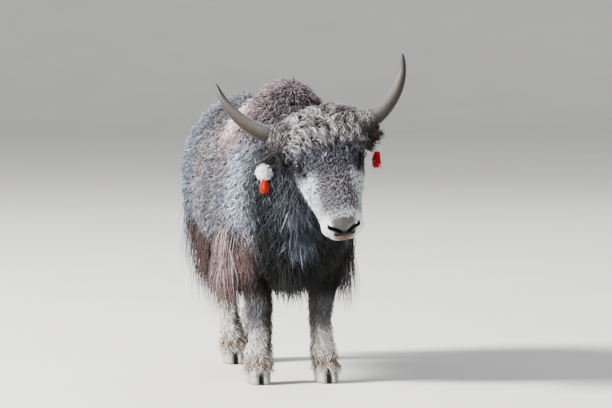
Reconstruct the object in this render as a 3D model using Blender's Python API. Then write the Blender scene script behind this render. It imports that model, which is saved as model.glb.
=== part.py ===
"""A domestic yak cow standing on four feet, life size, as a still museum model.

Metres, +Z up, the animal faces -Y and its left side is at +X. The body is modelled whole, to the outside of
its coat, and is then parted by cuts of GAP into torso, neck, head, four legs and tail. Horns, ears, eyes,
claws and the two ear tassels are solids of their own, seated in sockets of the same gap.
"""
import math
import random

import bpy
import bmesh
import numpy as np
from mathutils import Matrix, Vector

# Gap that touching solids keep, and how far a root is sunk in what it grows from.
GAP = 0.0003
ROOT_DEPTH = 0.022

# Outside of the coat along the trunk and neck, from the rump forward. Each row is a ring: its place in the
# stack, its highest point (y, z), its lowest point (y, z), half its width, how high up the ring is widest,
# how square its upper and lower halves are (2 is round, less is a ridge), and its shift to the left.
TRUNK = [
    (0.0, 0.598, 0.860, 0.592, 0.720, 0.060, 0.50, 2.0, 2.0, 0.000),
    (0.5, 0.585, 0.940, 0.585, 0.610, 0.135, 0.52, 2.0, 2.0, 0.000),
    (1.0, 0.535, 1.010, 0.550, 0.520, 0.186, 0.55, 2.1, 2.1, 0.000),
    (2.0, 0.410, 1.060, 0.430, 0.455, 0.228, 0.55, 2.2, 2.2, 0.000),
    (3.0, 0.215, 1.074, 0.230, 0.415, 0.252, 0.50, 2.2, 2.2, 0.000),
    (4.0, 0.020, 1.064, 0.020, 0.392, 0.276, 0.46, 2.1, 2.2, 0.000),
    (5.0, -0.120, 1.068, -0.140, 0.382, 0.284, 0.45, 1.9, 2.2, 0.000),
    (6.0, -0.225, 1.104, -0.245, 0.380, 0.264, 0.45, 1.8, 2.2, 0.000),
    (7.0, -0.325, 1.142, -0.350, 0.382, 0.246, 0.45, 1.7, 2.2, 0.000),
    (8.0, -0.415, 1.138, -0.455, 0.400, 0.230, 0.46, 1.7, 2.1, 0.002),
    (9.0, -0.490, 1.085, -0.545, 0.455, 0.202, 0.46, 1.7, 2.0, 0.014),
    (10.0, -0.550, 1.030, -0.605, 0.545, 0.158, 0.44, 1.8, 2.0, 0.030),
    (11.0, -0.600, 1.005, -0.645, 0.630, 0.134, 0.46, 1.9, 2.0, 0.046),
    (12.0, -0.640, 0.985, -0.665, 0.710, 0.120, 0.50, 2.0, 2.0, 0.058),
    (12.7, -0.670, 0.945, -0.685, 0.780, 0.100, 0.50, 2.0, 2.0, 0.064),
]
# Muscle under the coat that swells the flanks: place (y, z), reach (y, z) and height of each swelling.
SWELLINGS = {
    "haunch": (0.400, 0.700, 0.150, 0.210, 0.026),
    "shoulder": (-0.375, 0.590, 0.125, 0.220, 0.020),
}

# The head's own frame: the middle of the poll, the way the head faces, its tilt to the side and how far the
# face slopes below level.
POLL = (0.060, -0.672, 0.987)
HEAD_TURN = math.radians(-5.5)
HEAD_TILT = math.radians(9.0)
FACE_SLOPE = math.radians(57.0)
# Rings along the face, from the nape to the muzzle's end: place in the stack, forehead line (along, out),
# jaw line (along, out), half width, widest height, squareness of the upper and lower halves, no shift.
FACE = [
    (0.0, -0.060, -0.030, -0.030, -0.120, 0.085, 0.50, 2.0, 2.0, 0.0),
    (1.0, -0.048, 0.030, -0.005, -0.168, 0.126, 0.50, 2.1, 2.0, 0.0),
    (2.0, -0.012, 0.066, 0.025, -0.182, 0.152, 0.52, 2.3, 2.0, 0.0),
    (3.0, 0.038, 0.080, 0.068, -0.182, 0.160, 0.55, 2.4, 2.0, 0.0),
    (4.0, 0.092, 0.076, 0.118, -0.176, 0.150, 0.58, 2.4, 2.0, 0.0),
    (5.0, 0.148, 0.064, 0.170, -0.164, 0.134, 0.58, 2.4, 2.0, 0.0),
    (6.0, 0.205, 0.055, 0.225, -0.146, 0.126, 0.55, 2.3, 2.0, 0.0),
    (7.0, 0.265, 0.050, 0.282, -0.120, 0.109, 0.52, 2.2, 2.0, 0.0),
    (8.0, 0.325, 0.047, 0.335, -0.101, 0.089, 0.50, 2.2, 2.1, 0.0),
    (9.0, 0.378, 0.045, 0.386, -0.093, 0.080, 0.50, 2.3, 2.3, 0.0),
    (10.0, 0.421, 0.037, 0.425, -0.089, 0.076, 0.52, 2.4, 2.4, 0.0),
    (11.0, 0.454, 0.018, 0.452, -0.076, 0.058, 0.54, 2.3, 2.3, 0.0),
    (11.6, 0.468, -0.010, 0.464, -0.054, 0.030, 0.54, 2.2, 2.2, 0.0),
]

# Legs from the top down: place, middle (x, y), height, half width, reach forward and reach back.
FORELEG = [
    (0.0, 0.150, -0.370, 0.700, 0.060, 0.090, 0.090),
    (1.0, 0.158, -0.365, 0.600, 0.092, 0.118, 0.118),
    (2.0, 0.154, -0.372, 0.500, 0.090, 0.108, 0.112),
    (3.0, 0.137, -0.392, 0.410, 0.072, 0.078, 0.082),
    (4.0, 0.120, -0.412, 0.330, 0.055, 0.056, 0.056),
    (5.0, 0.114, -0.418, 0.285, 0.050, 0.053, 0.048),
    (6.0, 0.110, -0.420, 0.230, 0.043, 0.044, 0.044),
    (7.0, 0.114, -0.422, 0.165, 0.044, 0.043, 0.046),
    (8.0, 0.121, -0.426, 0.115, 0.053, 0.048, 0.056),
    (9.0, 0.125, -0.436, 0.080, 0.050, 0.050, 0.052),
    (10.0, 0.126, -0.446, 0.056, 0.049, 0.052, 0.050),
]
HIND_LEG = [
    (0.0, 0.140, 0.370, 0.780, 0.070, 0.120, 0.130),
    (1.0, 0.150, 0.365, 0.690, 0.100, 0.165, 0.170),
    (2.0, 0.152, 0.370, 0.600, 0.098, 0.150, 0.165),
    (3.0, 0.140, 0.388, 0.510, 0.080, 0.118, 0.122),
    (4.0, 0.120, 0.425, 0.425, 0.060, 0.084, 0.074),
    (5.0, 0.100, 0.462, 0.350, 0.049, 0.064, 0.050),
    (6.0, 0.090, 0.465, 0.300, 0.046, 0.055, 0.046),
    (7.0, 0.082, 0.452, 0.230, 0.041, 0.043, 0.043),
    (8.0, 0.076, 0.440, 0.165, 0.043, 0.043, 0.045),
    (9.0, 0.072, 0.430, 0.115, 0.051, 0.048, 0.055),
    (10.0, 0.070, 0.418, 0.080, 0.050, 0.050, 0.052),
    (11.0, 0.070, 0.408, 0.056, 0.050, 0.052, 0.050),
]
# How far each foot stands out and back from the rows' own place, left and right, eased in from the joint.
FOOT_SHIFT = {
    "foreleg_left": (0.010, 0.000),
    "foreleg_right": (0.000, 0.000),
    "hind_leg_left": (-0.034, 0.080),
    "hind_leg_right": (-0.014, -0.024),
}
JOINT_HEIGHT = 0.60
CORONET = 0.056

# Outlines of the blocks that take a part out of the whole body, each counter-clockwise. Those of the legs
# are in side and height, between two places along the body, and those of the tail and neck in length and
# height, across the whole width.
FORELEG_BLOCK = ((0.052, -0.02), (0.430, -0.02), (0.430, 0.655), (0.110, 0.655), (0.052, 0.500))
FORELEG_SPAN = (-0.530, -0.232)
HIND_LEG_BLOCK = ((-0.018, -0.02), (0.430, -0.02), (0.430, 0.800), (0.100, 0.800), (-0.018, 0.200))
HIND_LEG_SPAN = (0.215, 0.609)
TAIL_BLOCK = ((0.612, 0.20), (0.800, 0.20), (0.800, 1.05), (0.612, 1.05))
TAIL_SPAN = (-0.140, 0.140)
NECK_BLOCK = ((-0.600, 0.400), (-0.340, 1.200), (-1.200, 1.200), (-1.200, 0.400))
# The head's block is in the head's own frame, along the face and out of the forehead.
HEAD_BLOCK = (
    (-0.100, 0.145), (0.080, -0.212), (0.300, -0.165), (0.640, -0.130), (0.640, 0.300), (-0.100, 0.300),
)
NECK_SPAN = (-0.450, 0.450)

# Horns: core's start in the head's frame, length inside the hair and outside it, radius where it comes out,
# the rise of its line from core to tip and how far the tip lies behind.
HORN_START = (0.102, 0.050, 0.006)
HORN_SUNK = 0.072
HORN_SHOWN = 0.305
HORN_RADIUS = 0.035
HORN_RISE = (math.radians(10.0), math.radians(84.0))
HORN_BACK = 0.080
HORN_TAPER = (0.985, 0.62)
HORN_STEPS = 15

# Eyes: place in FACE and degrees from the top, how proud the ball stands, and its radius.
EYE_PLACE = (5.40, 65.0)
EYE_PROUD = 0.0065
EYE_RADIUS = 0.0185
LID_REACH = 0.0215
LID_OPEN = 0.0095
LID_CORNER = 0.0165
LID_UPPER = 0.0062
LID_LOWER = 0.0050

# Ears: place of the root in FACE and degrees, how far the tip lies out, back and up on each side, and size.
EAR_PLACE = (3.75, 97.0)
EAR_OUT = {1.0: 0.64, -1.0: 0.66}
EAR_BACK = 0.57
EAR_LIFT = {1.0: 0.42, -1.0: 0.06}
EAR_LENGTH = 0.108
EAR_WIDTH = 0.064
EAR_THICK = 0.007
EAR_SAG = 0.013
# Along the ear from root to tip: place, half width and half depth in ear widths, and how hollow it is.
EAR_ROWS = (
    (-0.30, 0.27, 0.26, 0.00),
    (0.02, 0.30, 0.29, 0.00),
    (0.12, 0.38, 0.30, 0.40),
    (0.26, 0.48, 0.27, 0.85),
    (0.42, 0.50, 0.24, 1.00),
    (0.60, 0.45, 0.20, 1.00),
    (0.78, 0.32, 0.15, 1.00),
    (0.92, 0.17, 0.09, 0.60),
    (1.00, 0.05, 0.05, 0.00),
)

# Mouth and nostrils: places in FACE with degrees from the top, the nostril's also with how far out of the
# skin its line runs, and the sizes of the rods that cut them.
MOUTH_LINE = ((7.9, 104), (8.7, 106), (9.5, 108), (10.3, 112), (10.9, 118), (11.35, 128))
MOUTH_SIZES = (0.0022, 0.0034)
NOSTRIL_LINE = (
    (11.35, 30, 0.002), (11.2, 42, 0.0), (10.95, 52, 0.0), (10.65, 59, 0.001), (10.35, 63, 0.003),
)
NOSTRIL_SIZES = (0.0050, 0.0085, 0.0085, 0.0055)

# Claws: outline of the outer claw of a left foot, out of the cleft and from toe to heel, and up the wall its
# height with how wide it is and how far it reaches forward and back. Dewclaws: sizes from root to tip.
CLAW_OUTLINE = (
    (0.0098, -0.060), (0.0188, -0.066), (0.0298, -0.057), (0.0388, -0.036), (0.0423, -0.010), (0.0408, 0.018),
    (0.0338, 0.036), (0.0208, 0.042), (0.0078, 0.036), (0.0038, 0.012), (0.0048, -0.018), (0.0068, -0.042),
)
CLAW_CLEFT = 0.0028
CLAW_WALL = (
    (0.0, 0.90, 0.94, 0.92),
    (0.007, 0.99, 1.03, 0.99),
    (0.030, 1.00, 0.93, 1.03),
    (CORONET - GAP, 0.97, 0.76, 1.03),
)
DEWCLAW_SIZES = (0.0125, 0.0120, 0.0085)

# Curls of the poll and forehead: place in FACE, reach to each side in degrees, clumps in the row and radius.
CURL_ROWS = (
    (1.5, 54, 4, 0.038),
    (2.3, 62, 5, 0.037),
    (3.1, 56, 4, 0.036),
    (3.9, 44, 3, 0.032),
)
LOCK_TAPER = np.array([0.70, 1.0, 0.72])

# Hanging coat of the flanks and chest: first and last place in TRUNK, locks in the row, angle from the top,
# height of the hem, width of a lock and how far it stands off.
FLANK_ROWS = (
    (2.6, 6.4, 9, 106, 0.325, 0.082, 0.016),
    (2.8, 6.6, 9, 128, 0.272, 0.078, 0.014),
    (0.7, 1.9, 4, 112, 0.470, 0.064, 0.012),
    (7.7, 9.4, 4, 152, 0.290, 0.070, 0.010),
    (9.6, 11.0, 2, 138, 0.480, 0.070, 0.010),
)
ELBOW_ROWS = (
    (6.9, 8.3, 4, 120, 0.350, 0.066, 0.010),
    (6.9, 7.5, 2, 134, 0.295, 0.060, 0.010),
)

# The tail's brush: height, locks and their length for each whorl, and a lock's width, thickness and lift.
TAIL_WHORLS = ((0.84, 4, 0.24), (0.70, 5, 0.26), (0.56, 4, 0.21))
TAIL_LOCK = (0.066, 0.022, 0.014)
TAIL_CORE = (0.0, 0.652)

# Ear tassels: knot above the ear, ball of wool and brush of yarn, in metres below the ear's hole.
TASSEL_HOLE = 0.820
POM_DROP = {"left": 0.030, "right": 0.018}
CORD_RADIUS = 0.0028
KNOT_RADIUS = 0.0070
POM_RADIUS = {"left": 0.017, "right": 0.025}
POM_CLUMPS = 7
GOLDEN_ANGLE = math.pi * (3 - math.sqrt(5))
BRUSH_LENGTH = {"left": 0.072, "right": 0.060}
# A strand of the brush: how far out its line lies at shares of its length, its half widths and thicknesses.
STRAND_LINE = ((-0.004, 0.0), (0.004, 0.3), (0.009, 0.6), (0.010, 1.0))
STRAND_SIZES = ((0.005, 0.007, 0.008), (0.003, 0.004, 0.004))

left_and_right = {"left": 1.0, "right": -1.0}
draw = random.Random(41)


def clear_scene():
    """Empties the scene of what Blender starts with."""
    for old in list(bpy.data.objects):
        bpy.data.objects.remove(old, do_unlink=True)


def new_collection(name):
    """A collection under the scene's own."""
    made = bpy.data.collections.new(name)
    bpy.context.scene.collection.children.link(made)
    return made


def finish_of(name, colour, roughness, metallic=0.0):
    """A Principled material of one colour."""
    made = bpy.data.materials.new(name)
    made.use_nodes = True
    shader = made.node_tree.nodes["Principled BSDF"]
    shader.inputs["Base Color"].default_value = (*colour, 1.0)
    shader.inputs["Roughness"].default_value = roughness
    shader.inputs["Metallic"].default_value = metallic
    return made


def eased(rows, places):
    """The table's columns at the given places, by a monotone cubic through its rows."""
    rows = np.array(rows, float)
    at, values = rows[:, 0], rows[:, 1:]
    step = np.diff(at)[:, None]
    slope = np.diff(values, axis=0) / step
    before, after = slope[:-1], slope[1:]
    same = before * after > 0
    inner = np.where(same, 2 * before * after / np.where(same, before + after, 1.0), 0.0)
    tangent = np.vstack([slope[:1], inner, slope[-1:]])
    i = np.clip(np.searchsorted(at, places, side="right") - 1, 0, len(at) - 2)
    t = ((places - at[i]) / step[i, 0])[:, None]
    start, end = values[i], values[i + 1]
    leaving, arriving = tangent[i] * step[i], tangent[i + 1] * step[i]
    return (
        (1 + 2 * t) * (1 - t) ** 2 * start
        + t * (1 - t) ** 2 * leaving
        + t * t * (3 - 2 * t) * end
        - t * t * (1 - t) * arriving
    )


def rings_of(rows, places, angles):
    """Rings of a table such as TRUNK, as points (side, along, height), by place and angle from the top."""
    cells = eased(rows, np.asarray(places, float))[:, :, None]
    top, low, half_width, widest, square_up, square_low, shift = (
        cells[:, 0:2], cells[:, 2:4], cells[:, 4], cells[:, 5], cells[:, 6], cells[:, 7], cells[:, 8]
    )
    middle = low + widest[:, None] * (top - low)
    c, s = np.cos(angles)[None], np.sin(angles)[None]
    power = 2 / np.where(c >= 0, square_up, square_low)
    rise = np.abs(c) ** power
    side = shift + half_width * np.sign(s) * np.abs(s) ** power
    reach = np.where((c >= 0)[:, None], top - middle, low - middle)
    along_height = middle + reach * rise[:, None]
    return np.stack([side, along_height[:, 0], along_height[:, 1]], axis=-1)


def trunk_points(places, angles):
    """The trunk's surface, with its swellings pushed out sideways as smooth bells."""
    points = rings_of(TRUNK, places, angles)
    x, y, z = points[..., 0], points[..., 1], points[..., 2]
    sideways = np.sin(angles)[None]
    for at_y, at_z, reach_y, reach_z, height in SWELLINGS.values():
        bell = np.exp(-(((y - at_y) / reach_y) ** 2) - ((z - at_z) / reach_z) ** 2)
        x = x + height * bell * sideways
    return np.stack([x, y, z], axis=-1)


def head_frame():
    """Matrix from the head's frame (left, along the face, out of the forehead) to the animal's."""
    ahead = Vector((math.sin(HEAD_TURN), -math.cos(HEAD_TURN), 0))
    level = Vector((math.cos(HEAD_TURN), math.sin(HEAD_TURN), 0))
    up = Vector((0, 0, 1))
    left = level * math.cos(HEAD_TILT) + up * math.sin(HEAD_TILT)
    crown = up * math.cos(HEAD_TILT) - level * math.sin(HEAD_TILT)
    face = ahead * math.cos(FACE_SLOPE) - crown * math.sin(FACE_SLOPE)
    out = ahead * math.sin(FACE_SLOPE) + crown * math.cos(FACE_SLOPE)
    frame = Matrix((left, face, out)).transposed().to_4x4()
    frame.translation = Vector(POLL)
    return frame


HEAD = np.array(head_frame())


def in_head(points):
    """Points of the head's frame, in the animal's."""
    return np.asarray(points, float) @ HEAD[:3, :3].T + HEAD[:3, 3]


def face_points(places, angles):
    """The head's surface: the rings of FACE in the animal's frame."""
    return in_head(rings_of(FACE, places, angles))


def leg_rows(name):
    """A leg's table with its foot set where it stands, on one side of the body."""
    rows = np.array(FORELEG if name.startswith("fore") else HIND_LEG, float)
    share = np.clip((JOINT_HEIGHT - rows[:, 3]) / (JOINT_HEIGHT - 0.12), 0, 1)
    share = share * share * (3 - 2 * share)
    out, back = FOOT_SHIFT[name]
    rows[:, 1] += out * share
    rows[:, 2] += back * share
    return rows


def leg_points(rows, side, places, angles):
    """A leg as level rings, each a half ellipse in front and another behind."""
    cells = eased(rows, np.asarray(places, float))[:, :, None]
    x, y, z, half_width, ahead, behind = (cells[:, i] for i in range(6))
    c, s = np.cos(angles)[None], np.sin(angles)[None]
    depth = np.where(c >= 0, ahead, behind)
    return np.stack([side * (x + half_width * s), y - depth * c, z + 0 * c], axis=-1)


def turned(count):
    """Angles all the way round, starting at the top or the front."""
    return np.arange(count) * 2 * math.pi / count


def solid_object(name, points, faces):
    """A mesh object with its faces pointing out."""
    mesh = bpy.data.meshes.new(name)
    mesh.from_pydata([tuple(p) for p in points], [], faces)
    shape = bmesh.new()
    shape.from_mesh(mesh)
    bmesh.ops.recalc_face_normals(shape, faces=shape.faces)
    if shape.calc_volume(signed=True) < 0:
        bmesh.ops.reverse_faces(shape, faces=shape.faces)
    bmesh.ops.triangulate(shape, faces=shape.faces)
    shape.to_mesh(mesh)
    shape.free()
    made = bpy.data.objects.new(name, mesh)
    workshop.objects.link(made)
    return made


def stacked(name, rings):
    """A closed loft over rings of equal count, each end closed by a fan to its middle."""
    count, around = rings.shape[:2]
    points = np.vstack([rings.reshape(-1, 3), rings[0].mean(axis=0), rings[-1].mean(axis=0)])
    faces = []
    for i in range(count - 1):
        for j in range(around):
            k = (j + 1) % around
            faces.append((i * around + j, i * around + k, (i + 1) * around + k, (i + 1) * around + j))
    first, last = count * around, count * around + 1
    for j in range(around):
        k = (j + 1) % around
        faces.append((first, k, j))
        faces.append((last, (count - 1) * around + j, (count - 1) * around + k))
    return solid_object(name, points, faces)


def swept(name, path, widths, depths, flat, sides, grow=0.0):
    """A loft along a path, drawn to a point at its end. Flat is the way its broad face looks."""
    path = np.array(path, float)
    first, last = path[1] - path[0], path[-1] - path[-2]
    path[0] -= first / np.linalg.norm(first) * grow
    path[-1] += last / np.linalg.norm(last) * grow * 8
    rings = []
    angles = turned(sides)
    for i, at in enumerate(path[:-1]):
        along = path[i + 1] - path[max(i - 1, 0)]
        along = along / np.linalg.norm(along)
        across = np.cross(along, flat)
        across = across / np.linalg.norm(across)
        out = np.cross(across, along)
        wide, deep = widths[i] + grow, depths[i] + grow
        rings.append(at + np.outer(np.cos(angles) * wide, across) + np.outer(np.sin(angles) * deep, out))
    rings = np.array(rings)
    count = len(rings)
    points = np.vstack([rings.reshape(-1, 3), path[-1]])
    tip = count * sides
    faces = [tuple(range(sides))[::-1]]
    for i in range(count - 1):
        for j in range(sides):
            k = (j + 1) % sides
            faces.append((i * sides + j, i * sides + k, (i + 1) * sides + k, (i + 1) * sides + j))
    for j in range(sides):
        faces.append(((count - 1) * sides + j, (count - 1) * sides + (j + 1) % sides, tip))
    return solid_object(name, points, faces)


def keep_largest(obj):
    """Keeps the largest closed surface of a mesh and drops the rest."""
    shape = bmesh.new()
    shape.from_mesh(obj.data)
    shape.verts.ensure_lookup_table()
    left = set(range(len(shape.verts)))
    islands = []
    while left:
        heap, island = [shape.verts[left.pop()]], set()
        island.add(heap[0].index)
        while heap:
            for edge in heap.pop().link_edges:
                for vert in edge.verts:
                    if vert.index in left:
                        left.remove(vert.index)
                        island.add(vert.index)
                        heap.append(vert)
        islands.append(island)
    islands.sort(key=len, reverse=True)
    scraps = [shape.verts[i] for island in islands[1:] for i in island]
    bmesh.ops.delete(shape, geom=scraps, context="VERTS")
    shape.to_mesh(obj.data)
    shape.free()


def combined(obj, operation, others):
    """Applies one Boolean of a whole collection to the object and removes the collection's objects."""
    pile = bpy.data.collections.new("pile")
    bpy.context.scene.collection.children.link(pile)
    for other in others:
        pile.objects.link(other)
    step = obj.modifiers.new("combine", "BOOLEAN")
    step.operation = operation
    step.operand_type = "COLLECTION"
    step.collection = pile
    step.solver = "MANIFOLD"
    bpy.context.view_layer.update()
    graph = bpy.context.evaluated_depsgraph_get()
    mesh = bpy.data.meshes.new_from_object(obj.evaluated_get(graph))
    obj.modifiers.clear()
    old, obj.data = obj.data, mesh
    bpy.data.meshes.remove(old)
    mesh.name = obj.name
    for other in others:
        bpy.data.objects.remove(other, do_unlink=True)
    bpy.data.collections.remove(pile)
    return obj


def duplicate(obj, name):
    """A copy of an object with a mesh of its own."""
    made = obj.copy()
    made.data = obj.data.copy()
    made.name = name
    workshop.objects.link(made)
    return made


# Pieces of coat

def lock(root, outward, length, width, thickness, lean, stand):
    """A flat, tapering lock of hair: rooted inside the coat, lifted off it and then hanging."""
    root, outward = np.asarray(root, float), np.asarray(outward, float)
    outward = outward / np.linalg.norm(outward)
    down = np.array([0, 0, -1.0])
    across = np.cross(down, outward)
    across = across / max(np.linalg.norm(across), 1e-6)
    path = [root - ROOT_DEPTH * outward - 0.12 * length * down]
    for i in range(1, len(LOCK_TAPER) + 1):
        s = i / len(LOCK_TAPER)
        lift = stand * math.sin(math.pi * min(s * 1.15, 1.0))
        path.append(root + outward * lift + down * length * s + across * lean * s * s)
    return swept("lock", path, LOCK_TAPER * width / 2, LOCK_TAPER * thickness / 2, outward, 4)


def ball(name, centre, outward, size, around, up):
    """A ball of few faces, stretched to a size across, along and out, and turned to look outward."""
    mesh = bpy.data.meshes.new(name)
    shape = bmesh.new()
    bmesh.ops.create_uvsphere(shape, u_segments=around, v_segments=up, radius=1.0)
    turn = Vector(outward).to_track_quat("Z", "Y").to_matrix().to_4x4()
    place = Matrix.Translation(Vector(centre)) @ turn @ Matrix.Diagonal((*size, 1))
    bmesh.ops.transform(shape, matrix=place, verts=shape.verts)
    bmesh.ops.triangulate(shape, faces=shape.faces)
    shape.to_mesh(mesh)
    shape.free()
    made = bpy.data.objects.new(name, mesh)
    workshop.objects.link(made)
    return made


def clump(centre, outward, radius, height, around=6, up=4):
    """A rounded clump of curly coat: a squashed ball, half sunk in what it grows from."""
    stretch = draw.uniform(0.85, 1.2)
    return ball("clump", centre, outward, (radius * stretch, radius / stretch, height), around, up)


def flank_root(place, degrees, side):
    """A point of the trunk's surface and the way out of it, by place in TRUNK and angle from the top."""
    angle = np.array([math.radians(degrees), math.radians(degrees) + 0.02])
    grid = trunk_points([place, place + 0.02], angle * side)
    here = grid[0, 0]
    out = np.cross(grid[0, 1] - here, grid[1, 0] - here) * side
    return here, out / np.linalg.norm(out)


def face_root(place, degrees):
    """A point of the head's surface and the way out of it."""
    angle = math.radians(degrees)
    grid = face_points([place, place + 0.02], np.array([angle, angle + 0.02]))
    here = grid[0, 0]
    out = -np.cross(grid[0, 1] - here, grid[1, 0] - here)
    out = out / np.linalg.norm(out)
    middle = face_points([place], turned(8))[0].mean(axis=0)
    if np.dot(out, here - middle) < 0:
        out = -out
    return here, out


def hanging_coat(rows):
    """Locks in rows along both flanks: each row is its places, angle from the top, hem and lock size."""
    made = []
    for side in left_and_right.values():
        for first, last, count, degrees, hem, width, stand in rows:
            for i in range(count):
                place = first + (last - first) * (i + draw.uniform(0.3, 0.7)) / count
                root, out = flank_root(place, degrees + draw.uniform(-4, 4), side)
                out[2] = max(out[2], -0.2)
                length = max(root[2] - hem + draw.uniform(-0.020, 0.020), 0.05)
                lean = draw.uniform(-0.025, 0.025)
                wide = width * draw.uniform(0.85, 1.15)
                made.append(lock(root, out, length, wide, 0.30 * width, lean, stand))
    return made


def tail_coat():
    """The tail's brush: locks in whorls down the dock."""
    made = []
    width, thickness, stand = TAIL_LOCK
    for ring, (height, count, length) in enumerate(TAIL_WHORLS):
        for i in range(count):
            angle = 2 * math.pi * (i + 0.5 * (ring % 2)) / count
            out = np.array([math.sin(angle), math.cos(angle), 0.0])
            root = np.array([*TAIL_CORE, height]) + out * (0.030, 0.022, 0)
            this_length = length * draw.uniform(0.9, 1.1)
            made.append(lock(root, out, this_length, width, thickness, draw.uniform(-0.02, 0.02), stand))
    return made


def curls():
    """The curly mop of the poll and forehead, in rounded clumps set in rows across it."""
    made = []
    for place, reach, count, radius in CURL_ROWS:
        for i in range(count):
            degrees = reach * (2 * (i + 0.5) / count - 1) + draw.uniform(-4, 4)
            here, out = face_root(place + draw.uniform(-0.15, 0.15), degrees)
            made.append(clump(here, out, radius * draw.uniform(0.9, 1.15), radius * draw.uniform(0.55, 0.75)))
    return made


def solved(first, second):
    """Where two lines of the plane cross, each given as its normal and its reach."""
    return np.linalg.solve(np.array([first[0], second[0]]), np.array([first[1], second[1]]))


def block(outline, low, high, placed, grow):
    """A block over a convex outline, with each of its faces moved out by grow."""
    corners = np.array(outline, float)
    edges = np.roll(corners, -1, axis=0) - corners
    out = np.stack([edges[:, 1], -edges[:, 0]], axis=1)
    out = out / np.linalg.norm(out, axis=1)[:, None]
    reach = (corners * out).sum(axis=1) + grow
    lines = list(zip(out, reach))
    moved = [solved(lines[i - 1], lines[i]) for i in range(len(lines))]
    rings = np.array([[(place, *corner) for corner in moved] for place in (low - grow, high + grow)])
    return stacked("block", np.array([placed(ring) for ring in rings]))


def take(whole, name, shape):
    """Cuts a named node out of the whole and leaves the gap between the two. Shape makes the cutting block."""
    node = duplicate(whole, name)
    combined(node, "INTERSECT", [shape(-GAP / 2)])
    combined(whole, "DIFFERENCE", [shape(GAP / 2)])
    return node


# Base forms of the body

def trunk_form():
    """Rump, barrel, hump and neck in one loft of rings."""
    places = np.concatenate([np.linspace(0, 1, 4)[:-1], np.linspace(1, 12, 24), [TRUNK[-1][0]]])
    return stacked("trunk", trunk_points(places, turned(28)))


def face_form():
    """Skull, cheeks, nose and muzzle in one loft of rings, closest at the muzzle."""
    places = np.concatenate([np.linspace(0, 7, 12), np.linspace(7, 11.6, 12)[1:]])
    return stacked("face", face_points(places, turned(22)))


def leg_form(name, side):
    """One leg to the coronet."""
    rows = leg_rows(name)
    places = np.linspace(0, rows[-1, 0], int(rows[-1, 0] * 1.4) + 1)
    return stacked(name, leg_points(rows, side, places, turned(14)))


def dock_form():
    """The tail's root, dock and the core of its brush."""
    path = [
        (0, 0.540, 0.965), (0, 0.600, 0.960), (0, 0.638, 0.925), (0, 0.652, 0.860), (0, 0.655, 0.760),
        (0, 0.655, 0.660), (0, 0.652, 0.560), (0, 0.650, 0.470), (0, 0.648, 0.370),
    ]
    widths = (0.045, 0.048, 0.048, 0.046, 0.052, 0.058, 0.058, 0.040)
    depths = (0.034, 0.032, 0.030, 0.028, 0.030, 0.034, 0.034, 0.026)
    return swept("dock", path, widths, depths, (1, 0, 0.001), 12)


# Horns, eyes and ears

def horn_form(name, side, grow=0.0):
    """A horn: out of the side of the poll, round and up in one bend, its tip a little behind and drawn in."""
    crown = np.array([0.0, -math.sin(FACE_SLOPE), math.cos(FACE_SLOPE)])
    ahead = np.array([0.0, math.cos(FACE_SLOPE), math.sin(FACE_SLOPE)])
    whole_length = HORN_SUNK + HORN_SHOWN
    at = np.array(HORN_START, float)
    path, radii = [], []
    for i in range(HORN_STEPS + 1):
        s = i / HORN_STEPS
        shown = max(s * whole_length - HORN_SUNK, 0) / HORN_SHOWN
        radii.append(HORN_RADIUS * (1 - shown * HORN_TAPER[0]) ** HORN_TAPER[1])
        path.append(at - ahead * HORN_BACK * shown ** 2)
        rise = HORN_RISE[0] + (HORN_RISE[1] - HORN_RISE[0]) * s ** 1.15
        at = at + (np.array([math.cos(rise), 0, 0]) + crown * math.sin(rise)) * whole_length / HORN_STEPS
    path = np.array(path)
    path[:, 0] *= side
    return swept(name, in_head(path), radii, radii, HEAD[:3, :3] @ ahead, 12, grow)


def eye_seat(side):
    """The middle of an eyeball and the way it looks."""
    here, out = face_root(EYE_PLACE[0], EYE_PLACE[1] * side)
    return here - out * (EYE_RADIUS - EYE_PROUD), out


def eye_form(name, side, grow=0.0):
    """An eyeball."""
    centre, look = eye_seat(side)
    return ball(name, centre, look, (EYE_RADIUS + grow,) * 3, 12, 7)


def eyelids(side):
    """An upper and a lower lid: two rolls from corner to corner over the eyeball."""
    centre, look = eye_seat(side)
    along = HEAD[:3, 1] - look * np.dot(look, HEAD[:3, 1])
    along = along / np.linalg.norm(along)
    rise = np.cross(look, along) * side
    made = []
    for way, thick in ((1, LID_UPPER), (-1, LID_LOWER)):
        path = []
        for degrees in np.linspace(-96, 96, 8):
            t = math.radians(degrees)
            across, up = LID_REACH * math.sin(t), way * LID_OPEN * math.cos(t)
            out = math.sqrt((EYE_RADIUS + 0.0012) ** 2 - min(abs(across), LID_CORNER) ** 2 - up ** 2)
            path.append(centre + along * across + rise * up + look * out)
        sizes = [thick * 0.7] + [thick] * 6
        made.append(swept("lid", path, sizes, sizes, look, 5))
    return made


def ear_frame(side):
    """Root, the way the tip lies, the way across the ear and the way its cup opens, for one side."""
    here, out = face_root(EAR_PLACE[0], EAR_PLACE[1] * side)
    crown = np.array([0.0, -math.sin(FACE_SLOPE), math.cos(FACE_SLOPE)])
    ahead = np.array([0.0, math.cos(FACE_SLOPE), math.sin(FACE_SLOPE)])
    tip = np.array([EAR_OUT[side] * side, 0, 0]) - ahead * EAR_BACK + crown * EAR_LIFT[side]
    tip = tip / np.linalg.norm(tip)
    opens = np.array([0.55 * side, 0, 0]) + ahead * 0.75 - crown * 0.25
    opens = opens - tip * np.dot(opens, tip)
    opens = opens / np.linalg.norm(opens)
    turn = HEAD[:3, :3]
    return here, turn @ tip, turn @ np.cross(opens, tip), turn @ opens


def ear_line(side, t):
    """A place on the ear's middle line, which droops towards its tip."""
    root, tip = ear_frame(side)[:2]
    return root + tip * EAR_LENGTH * t + np.array([0, 0, -EAR_SAG]) * t * t


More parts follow.
